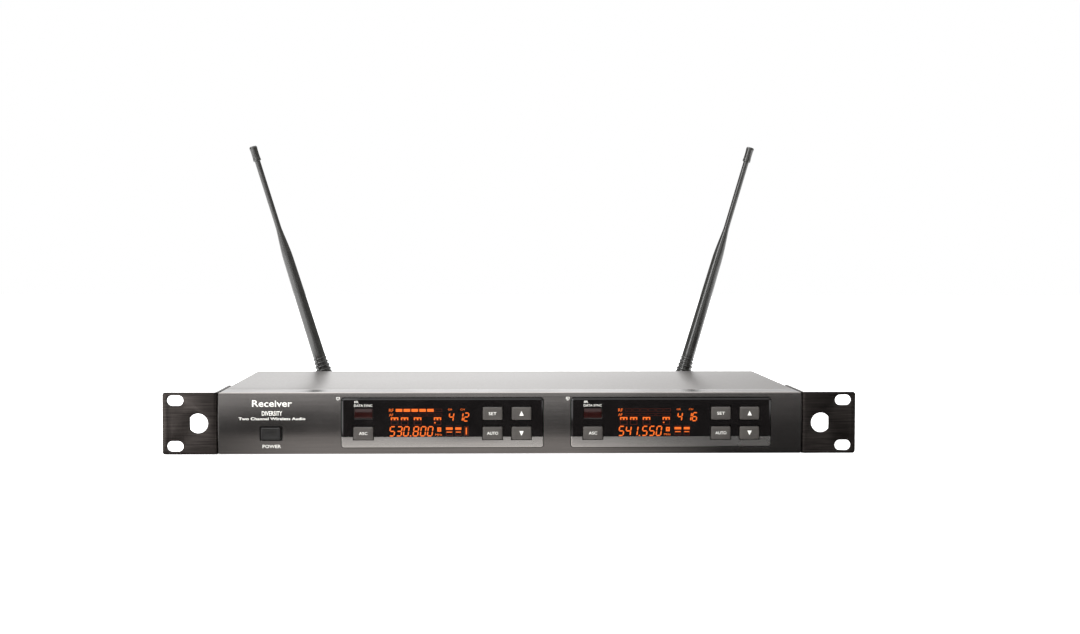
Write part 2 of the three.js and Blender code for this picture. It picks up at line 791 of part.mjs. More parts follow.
function screeningCan() {
  const halfWidth = shieldWidth / 2;
  const halfDepth = shieldDepth / 2;
  const outer = block(-halfWidth, halfWidth, -halfDepth, halfDepth, 0, shieldHeight);
  const inner = block(-halfWidth + shieldWall, halfWidth - shieldWall, -halfDepth + shieldWall,
    halfDepth - shieldWall, -1, shieldHeight - shieldWall);
  return outer.subtract(inner);
}

function ribbonCable() {
  const startY = frontY + frontBoardFront + boardThick + headerLength + seat;
  const endY = mainBoardFrontY - seat;
  const endZ = mainBoardTop + headerHeight / 2;
  const middleY = (startY + endY) / 2;
  const route = new THREE.CubicBezierCurve(
    new THREE.Vector2(startY, ribbonFrontZ),
    new THREE.Vector2(middleY, ribbonFrontZ),
    new THREE.Vector2(middleY, endZ),
    new THREE.Vector2(endY, endZ),
  );
  const steps = 10;
  const upper = [];
  const lower = [];
  for (let i = 0; i <= steps; i += 1) {
    const point = route.getPoint(i / steps);
    const along = route.getTangent(i / steps);
    const across = [-along.y * ribbonThick / 2, along.x * ribbonThick / 2];
    upper.unshift([point.x + across[0], point.y + across[1]]);
    lower.push([point.x - across[0], point.y - across[1]]);
  }
  return alongX(polygon([...lower, ...upper]), headerX - ribbonWidth / 2, headerX + ribbonWidth / 2);
}

function coaxLead(side) {
  const tail = antennaY + rearFaceFromHinge - sheet - bncThreadLength - bncTailLength - seat;
  const boardEnd = mainBoardWidth / 2 - 1 + seat;
  const endZ = mainBoardTop + 3;
  const route = new THREE.CatmullRomCurve3([
    new THREE.Vector3(antennaX(side), tail, middleZ),
    new THREE.Vector3(antennaX(side), tail - 8, middleZ),
    new THREE.Vector3(antennaX(side) - side * 7, tail - 24, middleZ - 4),
    new THREE.Vector3(antennaX(side) - side * 22, coaxBoardY + 2, endZ + 1),
    new THREE.Vector3(side * (boardEnd + 8), coaxBoardY, endZ),
    new THREE.Vector3(side * boardEnd, coaxBoardY, endZ),
  ]);
  const section = new THREE.Shape();
  section.absarc(0, 0, coaxRadius, 0, 2 * Math.PI, false);
  const geometry = new THREE.ExtrudeGeometry(section, { extrudePath: route, steps: 16, curveSegments: 3 });
  return solidOf(geometry);
}

// ---------------------------------------------------------------- rear sockets
// Built with y = 0 on the rear panel.

function xlrOutput() {
  const front = seat + xlrFlangeThick;
  const flangeOutline = roundedRectangle(0, 0, xlrFlangeWidth, xlrFlangeHeight, xlrFlangeCorner);
  let socket = alongY(flangeOutline, seat, front, 1);
  socket = socket.add(rodY(xlrBarrelRadius, front - xlrLength, seat + 0.5));
  const floorY = front - xlrCavityDepth;
  socket = socket.subtract(rodY(xlrCavityRadius, floorY, front + 1));
  for (const turn of [0, 1, 2]) {
    const angle = -Math.PI / 2 + (turn * 2 * Math.PI) / 3;
    const x = xlrPinCircle * Math.cos(angle);
    const z = xlrPinCircle * Math.sin(angle);
    socket = socket.add(rodY(xlrPinRadius, floorY - 1, floorY + xlrPinLength, x, z, smallSides));
  }
  for (const corner of [1, -1]) {
    const x = -corner * xlrScrewOffset.x;
    const z = corner * xlrScrewOffset.z;
    socket = socket.subtract(rodY(xlrScrewHoleRadius, seat - 1, front + 1, x, z, smallSides));
  }
  return socket;
}

function jackOutput() {
  const bodyBack = -sheet - seat - jackBodyLength;
  const half = jackBodyWidth / 2;
  const bodyLow = mainBoardTop - middleZ;
  const body = block(-half, half, bodyBack, -sheet - seat, bodyLow, half);
  const nose = rodY(jackNoseRadius, -sheet - seat - 0.5, jackNoseLength);
  const bore = rodY(jackBoreRadius, bodyBack + 2, jackNoseLength + 1);
  return joined(body, nose).subtract(bore);
}

function hexagonRing(outerRadius, innerRadius, y0, y1) {
  return rodY(outerRadius, y0, y1, 0, 0, 6).subtract(rodY(innerRadius, y0 - 1, y1 + 1));
}

function powerInlet() {
  const half = inletBodyWidth / 2;
  const bodyBack = -sheet - seat - inletBodyLength;
  const bodyLow = mainBoardTop - middleZ;
  const body = block(-half, half, bodyBack, -sheet - seat, bodyLow, half);
  const nose = rodY(inletNoseRadius, -sheet - seat - 0.5, inletNoseLength);
  const boreFloor = bodyBack + 3;
  const bore = rodY(inletBoreRadius, boreFloor, inletNoseLength + 1, 0, 0, inletBoreSides);
  const pin = rodY(inletPinRadius, boreFloor - 1, inletNoseLength - 1.5, 0, 0, inletPinSides);
  return joined(body, nose).subtract(bore).add(pin);
}

// ---------------------------------------------------------------- antennas
// Built around the hinge, with the whip along +Z.

const bncFlangeBack = rearFaceFromHinge + seat;
const bncFlangeFront = bncFlangeBack + bncFlangeThick;
const threadEnd = rearFaceFromHinge - sheet - bncThreadLength;
const collarBack = bncFlangeFront + seat;
const retainerStart = bncBarrelEnd + seat + 0.1;
const retainerEnd = collarEnd - collarWall - seat;

function bncSocket() {
  return turnedAboutY([
    [0, threadEnd - bncTailLength],
    [bncTailRadius, threadEnd - bncTailLength],
    [bncTailRadius, threadEnd],
    [bncThreadRadius, threadEnd],
    [bncThreadRadius, bncFlangeBack],
    [bncFlangeRadius, bncFlangeBack],
    [bncFlangeRadius, bncFlangeFront],
    [bncBarrelRadius, bncFlangeFront],
    [bncBarrelRadius, bncBarrelEnd],
    [bncBoreRadius, bncBarrelEnd],
    [bncBoreRadius, bncBarrelEnd - bncBoreDepth],
    [0, bncBarrelEnd - bncBoreDepth],
  ], bncSides);
}

function bncNut() {
  const front = rearFaceFromHinge - sheet - seat;
  return hexagonRing(bncNutRadius, bncThreadRadius + seat, front - bncNutThick, front);
}

function couplingCollar() {
  const bore = bncBarrelRadius + seat;
  const neck = collarNeckRadius + seat;
  return turnedAboutY([
    [bore, collarBack],
    [collarRadius, collarBack],
    [collarRadius, collarEnd],
    [neck, collarEnd],
    [neck, collarEnd - collarWall],
    [bore, collarEnd - collarWall],
    [bore, collarBack],
  ], bncSides);
}

function elbow() {
  const blockBack = -tongueRadius - seat;
  const spigotRadius = bncBoreRadius - seat;
  const spigot = turnedAboutY([
    [0, bncBarrelEnd - bncBoreDepth + seat],
    [spigotRadius, bncBarrelEnd - bncBoreDepth + seat],
    [spigotRadius, retainerStart],
    [bncBarrelRadius - 0.1, retainerStart],
    [bncBarrelRadius - 0.1, retainerEnd],
    [collarNeckRadius, retainerEnd],
    [collarNeckRadius, elbowBlockFront + 0.5],
    [0, elbowBlockFront + 0.5],
  ], bncSides);
  const bridge = block(-elbowRadius, elbowRadius, elbowBlockFront, blockBack, -elbowRadius, elbowRadius);
  const cheekOutline = new THREE.Shape();
  cheekOutline.moveTo(elbowBlockFront, -elbowRadius);
  cheekOutline.absarc(0, 0, elbowRadius, -Math.PI / 2, Math.PI / 2, false);
  cheekOutline.lineTo(elbowBlockFront, elbowRadius);
  cheekOutline.closePath();
  const left = alongX(cheekOutline, -elbowRadius, -elbowCheekInner, 4);
  const right = alongX(cheekOutline, elbowCheekInner, elbowRadius, 4);
  const pinHole = rodX(pinRadius + seat, -elbowRadius - 1, elbowRadius + 1, 0, 0, smallSides);
  return joined(spigot, bridge, left, right).subtract(pinHole);
}

function hingePin() {
  const head = elbowRadius + seat;
  return turnedAboutX([
    [0, -head - pinHeadThick],
    [pinHeadRadius, -head - pinHeadThick],
    [pinHeadRadius, -head],
    [pinRadius, -head],
    [pinRadius, head],
    [pinHeadRadius, head],
    [pinHeadRadius, head + pinHeadThick],
    [0, head + pinHeadThick],
  ], smallSides);
}

function whip() {
  const profile = [
    [0, whipFootStart],
    [whipFootRadius - 0.3, whipFootStart],
    [whipFootRadius, whipFootStart + 1],
    [whipFootRadius, ribStart],
  ];
  for (let i = 0; i < ribCount; i += 1) {
    const low = ribStart + i * ribPitch;
    const radius = ribRadiusLow + ((ribRadiusHigh - ribRadiusLow) * i) / (ribCount - 1);
    profile.push([radius - ribDepth, low + 0.3]);
    profile.push([radius - ribDepth, low + ribGroove]);
    profile.push([radius, low + ribGroove + 0.3]);
    profile.push([radius, low + ribPitch - 0.3]);
  }
  profile.push([whipThickLowRadius, whipThickStart]);
  profile.push([whipThickHighRadius, whipTaperStart]);
  profile.push([whipThinRadius, whipTaperEnd]);
  profile.push([whipThinRadius, capEnd - capTop - seat]);
  profile.push([0, capEnd - capTop - seat]);
  const rod = turnedAboutZ(profile, whipSides);
  const tongueOutline = new THREE.Shape();
  tongueOutline.moveTo(-tongueRadius, whipFootStart + 0.5);
  tongueOutline.absarc(0, 0, tongueRadius, Math.PI, 2 * Math.PI, false);
  tongueOutline.lineTo(tongueRadius, whipFootStart + 0.5);
  tongueOutline.closePath();
  const tongue = alongX(tongueOutline, -tongueHalf, tongueHalf, 4);
  const pinHole = rodX(pinRadius + seat, -elbowRadius, elbowRadius, 0, 0, smallSides);
  return rod.add(tongue).subtract(pinHole);
}

function whipCap() {
  const inside = whipThinRadius + seat;
  return turnedAboutZ([
    [0, capEnd - capTop],
    [inside, capEnd - capTop],
    [inside, capStart],
    [capRadius, capStart],
    [capRadius, capStart + 2],
    [capWaist, capStart + 4],
    [capWaist, capEnd - 4],
    [capRadius, capEnd - 2],
    [capRadius - 0.6, capEnd - 0.4],
    [0, capEnd],
  ], whipSides);
}

// ---------------------------------------------------------------- assembly

addNode(receiver, "base_tray", baseTray(), finishes.bareSteel);
addNode(receiver, "top_cover", topCover(), finishes.greyPaint);
addNode(receiver, "rear_panel", rearPanel(), finishes.blackPaint);
addNode(receiver, "front_panel", frontPanel(), finishes.gunmetal);
addNode(receiver, "front_board", frontBoard(), finishes.boardGreen);
addNode(receiver, "power_button", powerButton(), finishes.gunmetal, [powerX, frontY, powerZ]);
addNode(receiver, "power_switch", powerSwitch(), finishes.blackPlastic, [powerX, frontY, powerZ]);
addNode(receiver, "main_board", mainBoard(), finishes.boardGreen);
addNode(receiver, "ribbon_cable", ribbonCable(), finishes.greyRibbon);

for (const [letter, centre] of Object.entries(windowCentres)) {
  const section = addGroup(receiver, [centre, frontY, 0]);
  addNode(section, `window_${letter}`, windowInsert(), finishes.blackAcrylic);
  addNode(section, `trim_strip_${letter}`, trimStrip(), finishes.silverTrim);
  addNode(section, `ir_lens_${letter}`, infraredLens(), finishes.redLens, [lensX, 0, lensZ]);
  addNode(section, `display_${letter}`, display(), finishes.displayGlass, [displayX, behindWindow, displayZ]);
  for (const [label, { x, z }] of Object.entries(keyPlaces)) {
    addNode(section, `key_${label}_${letter}`, key(), finishes.keyPlastic, [x, 0, z]);
  }
}

const shieldY = mainBoardFrontY + shieldSetback + shieldDepth / 2;
const shieldZ = mainBoardTop + seat;
addNode(receiver, "rf_shield_a", screeningCan(), finishes.tinPlate, [-shieldCentreX, shieldY, shieldZ]);
addNode(receiver, "rf_shield_b", screeningCan(), finishes.tinPlate, [shieldCentreX, shieldY, shieldZ]);

for (const [letter, centre] of Object.entries(xlrCentres)) {
  addNode(receiver, `xlr_out_${letter}`, xlrOutput(), finishes.nickel, [centre, rearFaceY, middleZ]);
}
addNode(receiver, "jack_mix_out", jackOutput(), finishes.blackPlastic, [jackX, rearFaceY, middleZ]);
const jackNut = hexagonRing(jackNutRadius, jackNoseRadius + seat, seat, seat + jackNutThick);
addNode(receiver, "jack_nut", jackNut, finishes.nickel, [jackX, rearFaceY, middleZ]);
addNode(receiver, "dc_inlet", powerInlet(), finishes.blackPlastic, [inletX, rearFaceY, middleZ]);

for (const [hand, side] of [["left", -1], ["right", 1]]) {
  addNode(receiver, `rack_ear_${hand}`, rackEar(side), finishes.blackPaint);
  const screws = addGroup(receiver, [0, 0, middleZ]);
  screws.rotation.z = side > 0 ? 0 : Math.PI;
  const underEarHead = caseHalf + seat + earSheet + seat;
  const underCoverHead = caseHalf + seat;
  for (const [place, y] of Object.entries(earScrewYs)) {
    const shank = screwLength + earSheet + seat;
    addNode(screws, `ear_screw_${hand}_${place}`, panScrew(shank), finishes.screwBlack,
      [underEarHead, side * y, 0]);
  }
  for (const [place, y] of Object.entries(coverScrewYs)) {
    addNode(screws, `cover_screw_${hand}_${place}`, panScrew(screwLength), finishes.screwBlack,
      [underCoverHead, side * y, 0]);
  }
  const axis = [antennaX(side), antennaY, middleZ];
  addNode(receiver, `bnc_jack_${hand}`, bncSocket(), finishes.nickel, axis);
  addNode(receiver, `bnc_nut_${hand}`, bncNut(), finishes.nickel, axis);
  addNode(receiver, `coax_${hand}`, coaxLead(side), finishes.brownJacket);
  const antenna = addGroup(receiver, axis);
  antenna.rotation.y = side < 0 ? -leftAntennaLean : rightAntennaLean;
  addNode(antenna, `coupling_collar_${hand}`, couplingCollar(), finishes.nickel);
  addNode(antenna, `antenna_elbow_${hand}`, elbow(), finishes.blackPlastic);
  addNode(antenna, `hinge_pin_${hand}`, hingePin(), finishes.nickel);
  addNode(antenna, `whip_${hand}`, whip(), finishes.blackRubber);
  addNode(antenna, `whip_cap_${hand}`, whipCap(), finishes.blackPlastic);
}

export default receiver;
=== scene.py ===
# %% [markdown]
# # A two-channel wireless receiver, finished in Blender
# The solids of this rack unit come from a CAD model, and nothing here moves them. Blender's job is
# what the eye sees: rolled sheet edges, a brushed bezel, gloss windows, glowing
# segments and rubber antennas. Each step says what the piece is, how it could be made and why this way was taken.

# %% Load the frame
import json
from math import acos, cos, pi, radians, sin, sqrt

import bmesh
import bpy
from mathutils import Matrix, Vector


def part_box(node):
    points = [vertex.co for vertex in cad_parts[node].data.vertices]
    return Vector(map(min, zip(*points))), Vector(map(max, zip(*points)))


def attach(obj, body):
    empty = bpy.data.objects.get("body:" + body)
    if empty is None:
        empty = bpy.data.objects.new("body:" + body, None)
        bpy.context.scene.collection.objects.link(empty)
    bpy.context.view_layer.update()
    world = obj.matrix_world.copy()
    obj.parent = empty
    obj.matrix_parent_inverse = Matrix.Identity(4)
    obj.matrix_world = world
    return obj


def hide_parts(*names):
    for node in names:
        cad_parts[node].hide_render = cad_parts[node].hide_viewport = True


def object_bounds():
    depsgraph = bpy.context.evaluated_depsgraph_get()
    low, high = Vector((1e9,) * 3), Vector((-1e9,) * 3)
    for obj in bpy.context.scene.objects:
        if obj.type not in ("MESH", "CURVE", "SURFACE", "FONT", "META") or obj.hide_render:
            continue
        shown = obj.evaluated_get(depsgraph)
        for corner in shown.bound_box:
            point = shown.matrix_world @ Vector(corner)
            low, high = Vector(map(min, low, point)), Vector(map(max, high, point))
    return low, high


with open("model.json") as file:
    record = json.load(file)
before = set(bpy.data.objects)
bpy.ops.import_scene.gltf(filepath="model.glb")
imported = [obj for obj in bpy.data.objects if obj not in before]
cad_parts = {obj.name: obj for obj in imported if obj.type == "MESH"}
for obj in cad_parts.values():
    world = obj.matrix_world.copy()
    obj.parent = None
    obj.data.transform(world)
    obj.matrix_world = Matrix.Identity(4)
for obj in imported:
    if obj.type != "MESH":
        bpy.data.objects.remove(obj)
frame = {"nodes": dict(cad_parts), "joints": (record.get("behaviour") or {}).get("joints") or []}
cad_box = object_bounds()
mm = 0.001
print("CAD box in mm", [[round(v / mm, 1) for v in corner] for corner in cad_box])


# %% [markdown]
# ## Camera
# The unit was seen almost square on, from a little above its top, with a lens near 54 mm on a 36 mm sensor. A long
# lens so close to level keeps the front face free of perspective while the cover still shows as a thin strip. A camera
# could be aimed with a Track To constraint, but building its three axes from yaw, pitch and roll says exactly
# how it stands and leaves nothing to solve.

# %% Camera
def stand_camera(place, yaw, pitch, roll, lens):
    forward = Vector((sin(yaw) * cos(pitch), cos(yaw) * cos(pitch), sin(pitch)))
    right = Vector((cos(yaw), -sin(yaw), 0))
    up = right.cross(forward)
    side = right * cos(roll) + up * sin(roll)
    top = side.cross(forward)
    camera = bpy.data.objects.new("camera", bpy.data.cameras.new("camera"))
    camera.data.lens = lens
    camera.data.sensor_width = 36
    camera.data.clip_start = 0.02
    turn = Matrix((side, top, -forward)).transposed().to_4x4()
    camera.matrix_world = Matrix.Translation(place) @ turn
    bpy.context.scene.collection.objects.link(camera)
    bpy.context.scene.camera = camera
    return camera


camera = stand_camera(Vector((-24.3, -1232.2, 140.9)) * mm, radians(2.22), radians(-2.30), radians(0.13), 54.37)
print("camera looks along", [round(v, 3) for v in -camera.matrix_world.col[2].xyz])


# %% [markdown]
# ## Colour and shader helpers
# Colours are picked the way a paint card gives them, as sRGB hex, and one function turns them into the linear
# values that Cycles works in. Shader nodes could be added by hand one by one; one small function that adds any
# node with its settings and its links keeps each material down to the few lines that matter.

# %% Colour and shader helpers
def linear(hex_colour):
    values = [int(hex_colour[i:i + 2], 16) / 255 for i in (1, 3, 5)]
    return [v / 12.92 if v <= 0.04045 else ((v + 0.055) / 1.055) ** 2.4 for v in values] + [1.0]


def add_node(tree, kind, values=(), links=(), **properties):
    node = tree.nodes.new(kind)
    for name, value in properties.items():
        setattr(node, name, value)
    for socket, value in dict(values).items():
        node.inputs[socket].default_value = value
    for socket, (source, output) in dict(links).items():
        tree.links.new(source.outputs[output], node.inputs[socket])
    return node


def start_material(name, colour, roughness, metallic=0.0, **sockets):
    """A new material with one Principled shader; more sockets are given with _ for a space."""
    material = bpy.data.materials.new(name)
    material.use_nodes = True
    tree = material.node_tree
    tree.nodes.clear()
    values = {"Base Color": linear(colour), "Roughness": roughness, "Metallic": metallic}
    values.update({socket.replace("_", " "): value for socket, value in sockets.items()})
    shader = add_node(tree, "ShaderNodeBsdfPrincipled", values)
    add_node(tree, "ShaderNodeOutputMaterial", links={"Surface": (shader, "BSDF")})
    return material, tree, shader


def grain(tree, size, kind="ShaderNodeTexNoise", **values):
    """A texture fixed to the piece; its features are size metres long, given once or as (x, y, z)."""
    if isinstance(size, float):
        size = (size, size, size)
    place = add_node(tree, "ShaderNodeTexCoord")
    scaled = add_node(tree, "ShaderNodeMapping", {"Scale": [1 / s for s in size]}, {"Vector": (place, "Object")})
    return add_node(tree, kind, {"Scale": 1.0, **values}, {"Vector": (scaled, "Vector")})


def spread(tree, source, low, high, socket, shader, from_low=0.3, from_high=0.7, output=0):
    """Drives a number socket of the shader between low and high."""
    ranged = add_node(tree, "ShaderNodeMapRange", {"From Min": from_low, "From Max": from_high,
                                                   "To Min": low, "To Max": high}, {"Value": (source, output)})
    tree.links.new(ranged.outputs["Result"], shader.inputs[socket])
    return ranged


def tint(tree, source, first, second, shader, from_low=0.3, from_high=0.7):
    """Colours the shader between two hex colours."""
    ranged = add_node(tree, "ShaderNodeMapRange", {"From Min": from_low, "From Max": from_high}, {"Value": (source, 0)})
    # A Mix node names its number, vector and colour sockets alike, so the colour ones go by their places.
    mixed = add_node(tree, "ShaderNodeMix", {6: linear(first), 7: linear(second)}, {0: (ranged, "Result")},
                     data_type="RGBA")
    tree.links.new(mixed.outputs[2], shader.inputs["Base Color"])
    return mixed


def emboss(tree, source, depth, shader, strength=1.0):
    """Bump of a real depth in metres."""
    bump = add_node(tree, "ShaderNodeBump", {"Strength": strength, "Distance": depth}, {"Height": (source, 0)})
    tree.links.new(bump.outputs["Normal"], shader.inputs["Normal"])
    return bump


print("one grey through the colour function", [round(v, 3) for v in linear("#808080")])


# %% [markdown]
# ## Floor, surroundings and light
# Satin metal shows its surroundings more than its own colour, so most of its look is made by what stands round it.
# An image of a studio could light it too, but two area lights and a two-tone world do it with a few numbers: a
# white band ahead and behind, a dim band at the sides, a bright ceiling, and a sheet of white paper as the floor.
# A studio also lays cards where only the object can see them. Black card on the table gives the front panel
# its dark middle, a card that fades from black to white gives the sheen of its lower half, and a grey card
# at the right takes the shine off the right ear. Here the cards are hidden from the camera and cast no shadow.

# %% Floor, surroundings and light
def make_stage_plane(name, points, material):
    mesh = bpy.data.meshes.new(name)
    mesh.from_pydata(points, [], [tuple(range(len(points)))])
    mesh.materials.append(material)
    plane = bpy.data.objects.new(name, mesh)
    bpy.context.scene.collection.objects.link(plane)
    return plane


def paper(name, colour, glow):
    material, tree, shader = start_material(name, colour, 0.9, Emission_Strength=glow)
    shader.inputs["Emission Color"].default_value = linear("#ffffff")
    fibre = grain(tree, 3 * mm, Detail=4.0)
    spread(tree, fibre, 0.85, 0.95, "Roughness", shader)
    return material


def add_card(name, points, material):
    """A card that only shows in reflections, as one held just out of the picture does."""
    card = make_stage_plane(name, points, material)
    card.visible_camera = card.visible_diffuse = card.visible_shadow = False
    return card


def graduated_card(left, right):
    """Bright in its middle and dark towards both ends; left and right = (from x, to x, glow there, glow there)."""
    material, tree, shader = start_material("graduated_card", "#050505", 0.9)
    ends = ("From Min", "From Max", "To Min", "To Max")
    way = add_node(tree, "ShaderNodeTexCoord")
    parts = add_node(tree, "ShaderNodeSeparateXYZ", links={"Vector": (way, "Object")})
    rise = add_node(tree, "ShaderNodeMapRange", dict(zip(ends, left)), {"Value": (parts, "X")},
                    interpolation_type="SMOOTHSTEP")
    fall = add_node(tree, "ShaderNodeMapRange", dict(zip(ends, right)), {"Value": (parts, "X")})
    both = add_node(tree, "ShaderNodeMath", links={0: (rise, "Result"), 1: (fall, "Result")}, operation="MULTIPLY")
    shader.inputs["Emission Color"].default_value = linear("#fffbf8")
    tree.links.new(both.outputs["Value"], shader.inputs["Emission Strength"])
    return material


def make_surroundings(middle, side, overhead):
    """White room for the camera; for light and reflections, a bright band ahead and behind and a bright ceiling."""
    world = bpy.data.worlds.new("white_room")
    bpy.context.scene.world = world
    world.use_nodes = True
    tree = world.node_tree
    tree.nodes.clear()
    way = add_node(tree, "ShaderNodeTexCoord")
    parts = add_node(tree, "ShaderNodeSeparateXYZ", links={"Vector": (way, "Generated")})
    off = add_node(tree, "ShaderNodeMath", {1: 0.03}, {0: (parts, "X")}, operation="ADD")
    away = add_node(tree, "ShaderNodeMath", links={0: (off, "Value")}, operation="ABSOLUTE")
    band = add_node(tree, "ShaderNodeMapRange", {"From Min": 0.02, "From Max": 0.4, "To Min": middle, "To Max": side},
                    {"Value": (away, "Value")}, interpolation_type="SMOOTHSTEP")
    ceiling = add_node(tree, "ShaderNodeMapRange",
                       {"From Min": 0.3, "From Max": 0.7, "To Min": 0.0, "To Max": overhead},
                       {"Value": (parts, "Z")}, interpolation_type="SMOOTHSTEP")
    level = add_node(tree, "ShaderNodeMath", links={0: (band, "Result"), 1: (ceiling, "Result")}, operation="MAXIMUM")
    lit = add_node(tree, "ShaderNodeBackground", {"Color": linear("#ffffff")}, {"Strength": (level, "Value")})
    backdrop = add_node(tree, "ShaderNodeBackground", {"Color": linear("#ffffff"), "Strength": 1.0})
    path = add_node(tree, "ShaderNodeLightPath")
    seen = add_node(tree, "ShaderNodeMixShader", links={0: (path, "Is Camera Ray"), 1: (lit, "Background"),
                                                        2: (backdrop, "Background")})
    add_node(tree, "ShaderNodeOutputWorld", links={"Surface": (seen, "Shader")})


def add_softbox(name, place, aim, width, height, power):
    light = bpy.data.lights.new(name, "AREA")
    light.shape = "RECTANGLE"
    light.size, light.size_y = width, height
    light.energy = power
    box = bpy.data.objects.new(name, light)
    box.location = place
    box.rotation_euler = (Vector(aim) - Vector(place)).to_track_quat("-Z", "Y").to_euler()
    bpy.context.scene.collection.objects.link(box)
    return box


def level_with(height, places):
    return [(x, y, height) for x, y in places]


bpy.context.scene.view_settings.view_transform = "Standard"
ground = cad_box[0][2] - 0.4 * mm
floor_reach = 4
floor_edge = [(-floor_reach, -floor_reach), (floor_reach, -floor_reach), (floor_reach, floor_reach),
              (-floor_reach, floor_reach)]
make_stage_plane("floor", level_with(ground, floor_edge), paper("white_paper", "#f4f4f4", 0.8))
make_surroundings(middle=1.3, side=0.3, overhead=0.95)
far_edge = [(0.60, -2.6), (-0.6, -2.6)]
near_edge = [(-0.38, -1.0), (-0.27, -0.3), (-0.24, -0.185), (0.04, -0.175), (0.16, -0.155), (0.24, -0.125),
             (0.60, -0.12)]
under_edge = [(-0.25, -0.24), (0.5, -0.24), (0.5, 0.1), (-0.25, 0.1)]
right_edge = [(0.20, -1.3, 0), (1.4, -0.9, 0), (1.4, -0.9, 0.3), (0.20, -1.3, 0.3)]
add_card("card_low", level_with(ground + 0.2 * mm, far_edge + near_edge), paper("black_card", "#0c0c0c", 0.0))
add_card("card_near", level_with(ground + 0.1 * mm, under_edge),
         graduated_card((-0.24, -0.13, 0.12, 0.8), (0.04, 0.15, 1.0, 0.02)))
add_card("card_right", right_edge, paper("grey_card", "#777777", 0.0))
add_softbox("softbox_over", (-0.15, 0.15, 1.25), (0, 0, 0), 1.8, 1.1, 22)
add_softbox("softbox_left", (-1.25, -1.1, 0.75), (0, 0, 0.05), 0.7, 1.1, 12)
print("floor, surroundings and", len(bpy.data.lights), "soft lights")


# %% [markdown]
# ## Metals and paints of the case
# The bezel is extruded aluminium, brushed along its length and anodised gunmetal: fine lines along X
# stretch each reflection up and down. The ears are steel, brushed and then given a thin satin black coat, so
# coarser lines show through it. The cover carries a sprayed grey lacquer with metal flake, which looks pale when seen
# at a shallow angle. Painted grain could be an image; noise stretched to the real length of a brush line stays
# sharp from any distance.

# %% Metals and paints of the case
def brushed(name, colour, dark, roughness, metallic, line_width, line_length, depth, **sockets):
    """Metal brushed along X, with its line width and length in metres."""
    material, tree, shader = start_material(name, colour, roughness, metallic, **sockets)
    lines = grain(tree, (line_length, line_width * 4, line_width), Detail=3.0)
    clouds = grain(tree, (60 * mm, 60 * mm, 30 * mm), Detail=2.0)
    tint(tree, lines, dark, colour, shader)
    spread(tree, clouds, roughness - 0.04, roughness + 0.05, "Roughness", shader)
    emboss(tree, lines, depth, shader)
    return material


# Brush lines on trim are near 0.05 mm wide, too fine to show, so they are drawn about ten times as coarse.
bezel_aluminium = brushed("gunmetal_anodised_aluminium", "#7e7a78", "#716e6c", 0.21, 1.0, 0.5 * mm, 60 * mm, 0.008 * mm)
trim_aluminium = brushed("silver_anodised_aluminium", "#c9c6c3", "#bab7b4", 0.24, 1.0, 0.4 * mm, 40 * mm, 0.004 * mm)
ear_steel = brushed("satin_black_coated_steel", "#4c4643", "#332e2c", 0.34, 0.95, 0.9 * mm, 22 * mm, 0.03 * mm,
                    Coat_Weight=0.15, Coat_Roughness=0.3)


def sprayed_paint(name, colour, dark, roughness, metallic, flake, depth, **sockets):
    """Sprayed lacquer with a fine orange peel and flakes of metal."""
    material, tree, shader = start_material(name, colour, roughness, metallic, **sockets)
    flakes = grain(tree, flake, "ShaderNodeTexVoronoi")
    peel = grain(tree, 1.4 * mm, Detail=2.0)
    tint(tree, flakes, dark, colour, shader, from_low=0.2, from_high=0.8)
    spread(tree, peel, roughness - 0.03, roughness + 0.04, "Roughness", shader)
    emboss(tree, peel, depth, shader)
    return material


# Metal flakes in such a lacquer are some hundredths of a millimetre across. That is too fine to show, so they are
# drawn at 0.35 mm.
cover_paint = sprayed_paint("grey_metallic_lacquer", "#94918f", "#8f8c8a", 0.32, 0.9, 0.35 * mm, 0.0015 * mm)
rear_paint = sprayed_paint("black_textured_powder_coat", "#211f1e", "#171615", 0.55, 0.0, 0.5 * mm, 0.05 * mm)


def plated(name, colour, roughness, spangle, depth):
    """Zinc, tin or nickel plate: a metal with faint crystals or handling marks of the given size."""
    material, tree, shader = start_material(name, colour, roughness, 1.0)
    cells = grain(tree, spangle, "ShaderNodeTexVoronoi")
    marks = grain(tree, spangle * 3, Detail=5.0)
    spread(tree, cells, roughness - 0.05, roughness + 0.08, "Roughness", shader, 0.1, 0.9, "Distance")
    emboss(tree, marks, depth, shader, 0.6)
    return material


zinc_steel = plated("zinc_plated_steel", "#b9babb", 0.36, 6 * mm, 0.01 * mm)
nickel = plated("nickel_plated_brass", "#aaa7a1", 0.26, 1.5 * mm, 0.003 * mm)
tin_plate = plated("tin_plated_steel", "#c3c4c2", 0.3, 4 * mm, 0.02 * mm)
black_oxide = plated("black_oxide_steel", "#26262a", 0.34, 0.8 * mm, 0.006 * mm)
print("metals and paints:", [m.name for m in bpy.data.materials])


# %% [markdown]
# ## Plastics, rubber, inks and glowing segments
# The windows are cast acrylic, black and polished, so their index is 1.49 and they are nearly as smooth as glass.
# Keys are moulded ABS with a spark-eroded grain, connector bodies glass-filled nylon, antennas a soft satin
# elastomer. White legends are pad-printed ink a few hundredths of a millimetre thick. The display's segments
# shine by themselves, so they emit orange light; the unlit ones only glimmer.

# %% Plastics, rubber, inks and glowing segments
def moulded(name, colour, dark, roughness, grain_size, depth, ior=1.53, **sockets):
    """Moulded plastic or rubber with the grain of its tool."""
    material, tree, shader = start_material(name, colour, roughness, IOR=ior, **sockets)
    tool_grain = grain(tree, grain_size, Detail=3.0)
    handling = grain(tree, 9 * mm, Detail=4.0)
    tint(tree, handling, dark, colour, shader)
    spread(tree, handling, roughness - 0.05, roughness + 0.06, "Roughness", shader)
    emboss(tree, tool_grain, depth, shader)
    return material


